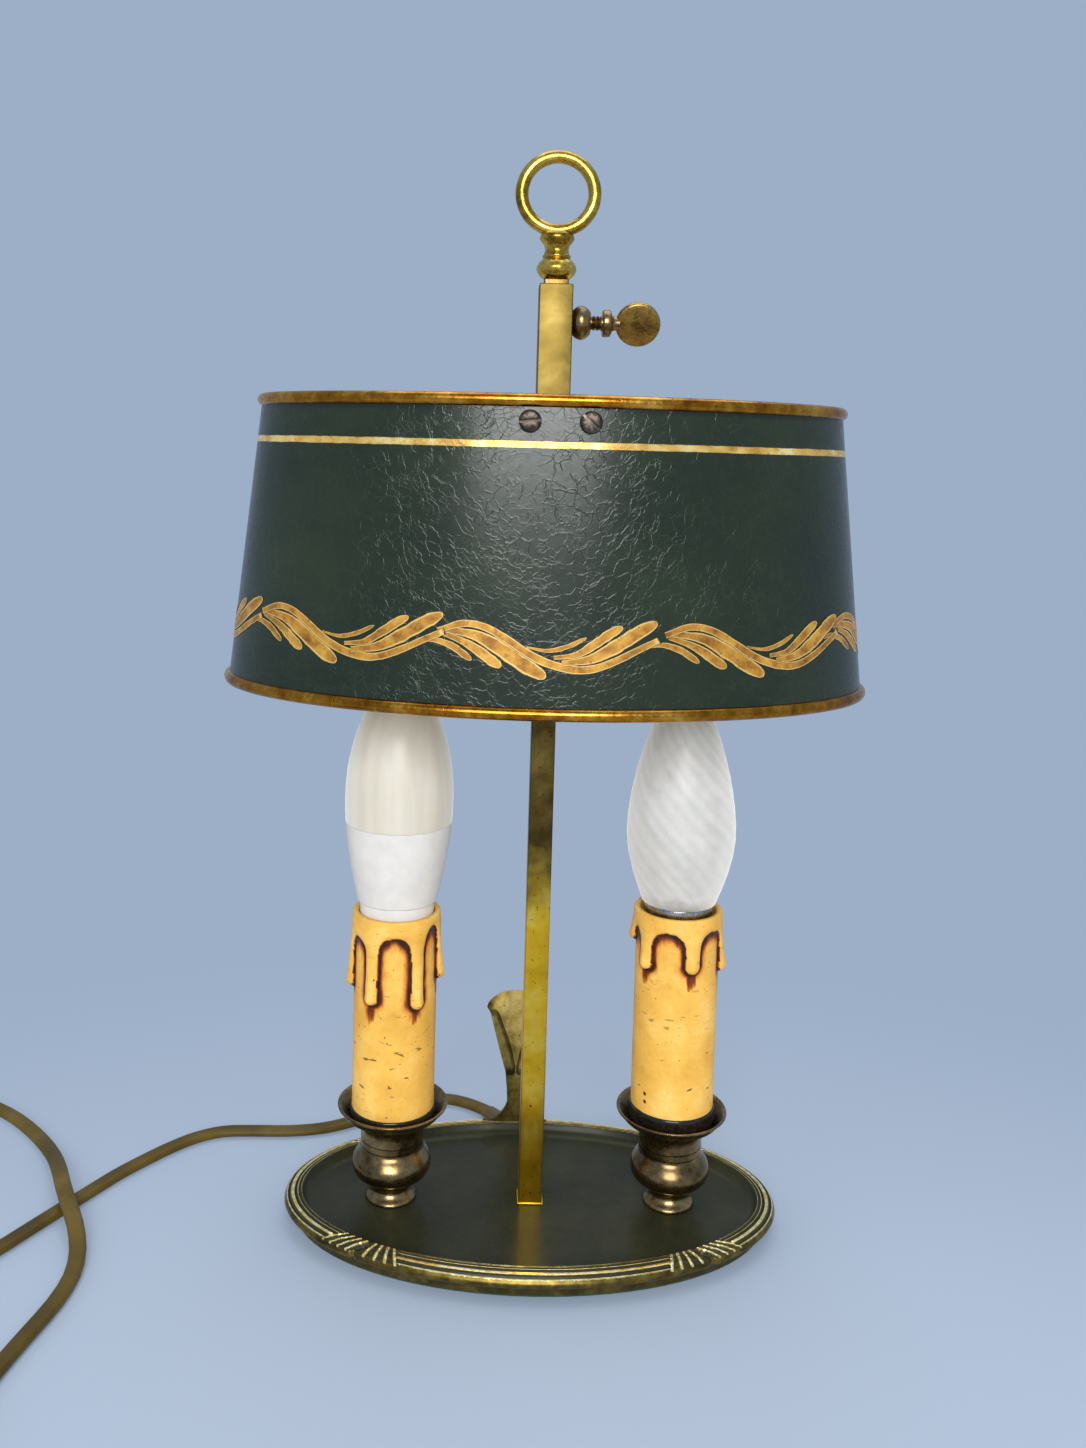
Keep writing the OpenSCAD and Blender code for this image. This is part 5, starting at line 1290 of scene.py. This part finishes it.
def makeRim(name, z, node):
    a, b = wallAt(z)
    startClean()
    bpy.ops.curve.primitive_bezier_circle_add(radius=1, location=(0, 0, z * mm))
    obj = bpy.context.object
    obj.name = name
    for point in obj.data.splines[0].bezier_points:  # free handles stay where the oval needs them
        point.handle_left_type = point.handle_right_type = "FREE"
    for point in obj.data.splines[0].bezier_points:
        for part in ("co", "handle_left", "handle_right"):
            x, y, h = getattr(point, part)
            setattr(point, part, (x * a * mm, y * b * mm, h))
    obj.data.resolution_u = 90
    obj.data.bevel_depth = shade["rim"] * mm
    obj.data.bevel_resolution = 7
    bpy.ops.object.convert(target="MESH")
    obj = bpy.context.object
    tidyMesh(obj)
    finishPiece(obj, giltRim, "shade_carriage", [node], 60)


# One wave of the painted garland, from its crest: mm along the shade and height above the table
garland = {"crests": [39.3, 102.1, 168.7, 230.5, 295.3, 360.1, 424.9, 489.7],
           "lift": [0.1, -0.9, -0.7, 0.2, 0, 0, 0, 0],
           "level": 205, "raise": 0.05, "layer": 0.015}
wave = [  # name, widest half width, points
    ("D1", 1.15, [(-14.2, 205.0), (-8.5, 205.8), (-3.2, 204.4), (0.4, 202.2), (2.9, 200.5)]),
    ("D2", 1.7, [(-6.4, 208.0), (0.6, 205.6), (5.4, 202.9), (8.9, 200.5), (11.6, 199.0)]),
    ("D3", 2.5, [(-5.0, 209.0), (4.0, 207.6), (11.6, 203.8), (18.6, 199.4), (24.5, 196.2)]),
    ("stem", 1.35, [(-7.5, 208.6), (0, 211.0), (6.2, 210.2), (12.3, 207.2), (18.5, 203.3), (23.6, 200.8),
                   (28.6, 199.3), (33.6, 198.6), (38.6, 199.2), (44.9, 201.6), (51.2, 204.7), (57.5, 207.6)]),
    ("A1", 0.75, [(18.4, 204.9), (24.6, 204.0), (30.3, 205.3), (35.9, 208.0)]),
    ("A2", 1.55, [(26.4, 202.0), (33.0, 203.0), (38.6, 206.4), (43.0, 209.4), (46.4, 211.2)]),
    ("A3", 2.25, [(28.8, 200.4), (37.0, 201.8), (44.2, 205.4), (51.0, 209.6), (56.8, 212.6)]),
]


def arcTable():  # length along the shade's wall at the garland's height, from its left end
    a, b = wallAt(garland["level"], 0.4)
    table, total, last = [], 0, None
    for k in range(1441):
        t = -math.pi + 2*math.pi*k/1440
        spot = Vector((a*math.cos(t), b*math.sin(t)))
        total += (spot - last).length if last is not None else 0
        table.append((total, t))
        last = spot
    return table


def angleAt(table, along):
    along %= table[-1][0]
    low, high = 0, len(table) - 1
    while high - low > 1:
        middle = (low + high) // 2
        if table[middle][0] > along:
            high = middle
        else:
            low = middle
    share = (along - table[low][0]) / (table[high][0] - table[low][0])
    return table[low][1] + (table[high][1] - table[low][1]) * share


def leafWidth(kind, u):  # share of the widest half width along a painted leaf
    if kind == "stem":
        return 0.75 + 0.25 * math.sin(math.pi * u)
    point = max(0, (u - 0.72) / 0.28)**2.2
    return max(0.06, (0.42 + 0.58 * ease(0, 0.55, u)) * math.sqrt(max(0, 1 - point)))


def makeGarland():
    table = arcTable()
    strokes = []
    for index, (crest, lift) in enumerate(zip(garland["crests"], garland["lift"])):
        for layer, (kind, half, points) in enumerate(wave):
            line = flow([(p[0], p[1]) for p in points], 8 if kind != "stem" else 5)
            startClean()
            bpy.ops.mesh.primitive_grid_add(x_subdivisions=len(line) - 1, y_subdivisions=4, size=2)
            stroke = bpy.context.object
            count = len(line) - 1
            for vertex in stroke.data.vertices:
                k = round((vertex.co.x + 1) / 2 * count)
                v = vertex.co.y
                here, ahead = line[k], line[min(k + 1, count)] - line[max(k - 1, 0)]
                side = Vector((-ahead.y, ahead.x)).normalized()
                shake = 1 + 0.12 * noise.noise(Vector((index * 7 + layer * 3, k * 0.35, 0)))
                spot = here + side * v * half * leafWidth(kind, k / count) * shake
                z = spot.y + lift
                rise = 0.4 + garland["raise"] + garland["layer"] * layer
                a, b = wallAt(z, rise)
                t = angleAt(table, crest + spot.x)
                vertex.co = Vector((a*math.cos(t), b*math.sin(t), z)) * mm
            strokes.append(stroke)
    obj = joined(strokes, "paintedGarland")
    finishPiece(obj, paintFinish(), "shade_carriage", (), 60)


def paintFinish():
    # Gold size painted by hand: a dark line outside, a pale outline, amber shading, rubbed in places
    material, add, shader, place = newFinish("paintedGold", Roughness=0.38)
    along, across = add("SeparateXYZ", [add("UVMap")], None).outputs[:2]
    side = add("Math", [across, 0.5], operation="SUBTRACT")
    side = add("Math", [side, 0.0], operation="ABSOLUTE")
    tip = add("MapRange", [along, 0.93, 1.0, 0, 0.5])
    rim = add("Math", [side, tip], operation="MAXIMUM")
    streak = add("TexNoise", {"Vector": place, "Scale": 1000/1.6, "Detail": 4, "Roughness": 0.65})
    ragged = add("Math", [streak, 0.5], operation="SUBTRACT")
    ragged = add("Math", [ragged, 0.12], operation="MULTIPLY")
    rough = add("Math", [rim, ragged], operation="ADD")
    drawn = add("TexNoise", {"Vector": place, "Scale": 1000/5, "Detail": 4, "Roughness": 0.6})
    body = add("ValToRGB", [drawn], stops=[(0.3, "#7f531b"), (0.5, "#b9832f"), (0.68, "#d8a646")])
    outline = add("MapRange", [rough, 0.3, 0.37, 0, 0.8])
    colour = add("Mix", {0: outline, 6: body, 7: shown("#e6c678")}, 2, data_type="RGBA")
    rubbed = add("MapRange", [streak, 0.33, 0.41, 1, 0])
    rubbed = add("Math", [rubbed, 0.55], operation="MULTIPLY")
    colour = add("Mix", {0: rubbed, 6: colour, 7: shown("#4d4424")}, 2, data_type="RGBA")
    dark = add("MapRange", [rough, 0.425, 0.455])
    colour = add("Mix", {0: dark, 6: colour, 7: shown("#14180c")}, 2, data_type="RGBA")
    plug(shader, Base_Color=colour, Metallic=add("MapRange", [dark, 0, 1, 0.4, 0]),
         Normal=add("Bump", {"Height": streak, "Distance": 0.02*mm}))
    return material


makeShell()
makeRim("shadeTopRim", shade["high"], "shade_top_rim")
makeRim("shadeBottomRim", shade["low"], "shade_bottom_rim")
makeGarland()
screws = copyNode("shade_screws", "shadeScrews", 0.12, 2)
finishPiece(screws, screwMetal, "shade_carriage", ["shade_screws"])
paintNode("shade_nuts", screwMetal)
print("the shade is made")


# Inner pieces, wiring and cord fittings

def plasticFinish(name, base, dark, roughness, grain=0.02):
    material, add, shader, place = newFinish(name, Roughness=roughness)
    soil = add("TexNoise", {"Vector": place, "Scale": 1000/6, "Detail": 4, "Roughness": 0.65})
    skin = add("TexNoise", {"Vector": place, "Scale": 1000/0.6, "Detail": 3})
    plug(shader, Base_Color=add("ValToRGB", [soil], stops=[(0.35, dark), (0.6, base)]),
         Normal=add("Bump", {"Height": skin, "Distance": grain * mm}))
    return material


holderPlastic = plasticFinish("creamHolderPlastic", "#e9e4d8", "#d2cbb9", 0.45)
boardFinish = plasticFinish("whiteBoard", "#e6e6df", "#cfcfc6", 0.5)
wireBrown = plasticFinish("brownWireSleeve", "#7a2f22", "#5e2118", 0.4)
wireBlue = plasticFinish("blueWireSleeve", "#3b5a8a", "#2c456c", 0.4)
bushRubber = plasticFinish("oliveBushRubber", "#63541f", "#4b3f18", 0.55, 0.05)
switchPlastic = plasticFinish("oliveSwitchPlastic", "#5a4a22", "#48391a", 0.35)
rockerPlastic = plasticFinish("darkRockerPlastic", "#2e2614", "#221b0e", 0.3)


def glassFinish():
    material, add, shader, place = newFinish("clearMountGlass", Roughness=0.05, IOR=1.47,
                                             Transmission_Weight=1.0)
    haze = add("TexNoise", {"Vector": place, "Scale": 1000/4, "Detail": 3})
    plug(shader, Base_Color=add("ValToRGB", [haze], stops=[(0.3, "#d8dde0"), (0.7, "#eef1f3")]))
    return material


for name in ("lamp_holder_left", "lamp_holder_right", "terminal_block"):
    paintNode(name, holderPlastic)
for name in ("holder_nut_left", "holder_nut_right", "nipple_nut_left", "nipple_nut_right", "stem_screw"):
    paintNode(name, steel)
for name in ("nipple_left", "nipple_right", "holder_contact_left", "holder_contact_right",
             "switch_terminals"):
    paintNode(name, contactBrass)
paintNode("led_board", boardFinish)
paintNode("flame_mount", glassFinish())
for name in ("leads_left", "leads_right"):
    paintNode(name, wireBrown)
paintNode("flex_cores", wireBlue)
bush = copyNode("cord_bush", "cordBush", 0.25)
finishPiece(bush, bushRubber, "lamp", ["cord_bush"], 50)
switchBase = copyNode("switch_base", "switchBase", 0.5, 3)
finishPiece(switchBase, switchPlastic, "lamp", ["switch_base"], 40)
switchCover = copyNode("switch_cover", "switchCover", 0.5, 3)
finishPiece(switchCover, switchPlastic, "lamp", ["switch_cover"], 40)
rocker = copyNode("switch_rocker", "switchRocker", 0.3)
finishPiece(rocker, rockerPlastic, "rocker", ["switch_rocker"], 40)
plugBody = copyNode("plug_body", "plugBody", 0.6, 3)
finishPiece(plugBody, switchPlastic, "lamp", ["plug_body"], 40)
paintNode("plug_pins", contactBrass)

print("the cords measure", round(lineLength(cordIn[1]), 3), "and", round(lineLength(cordOut[1]), 3), "m")
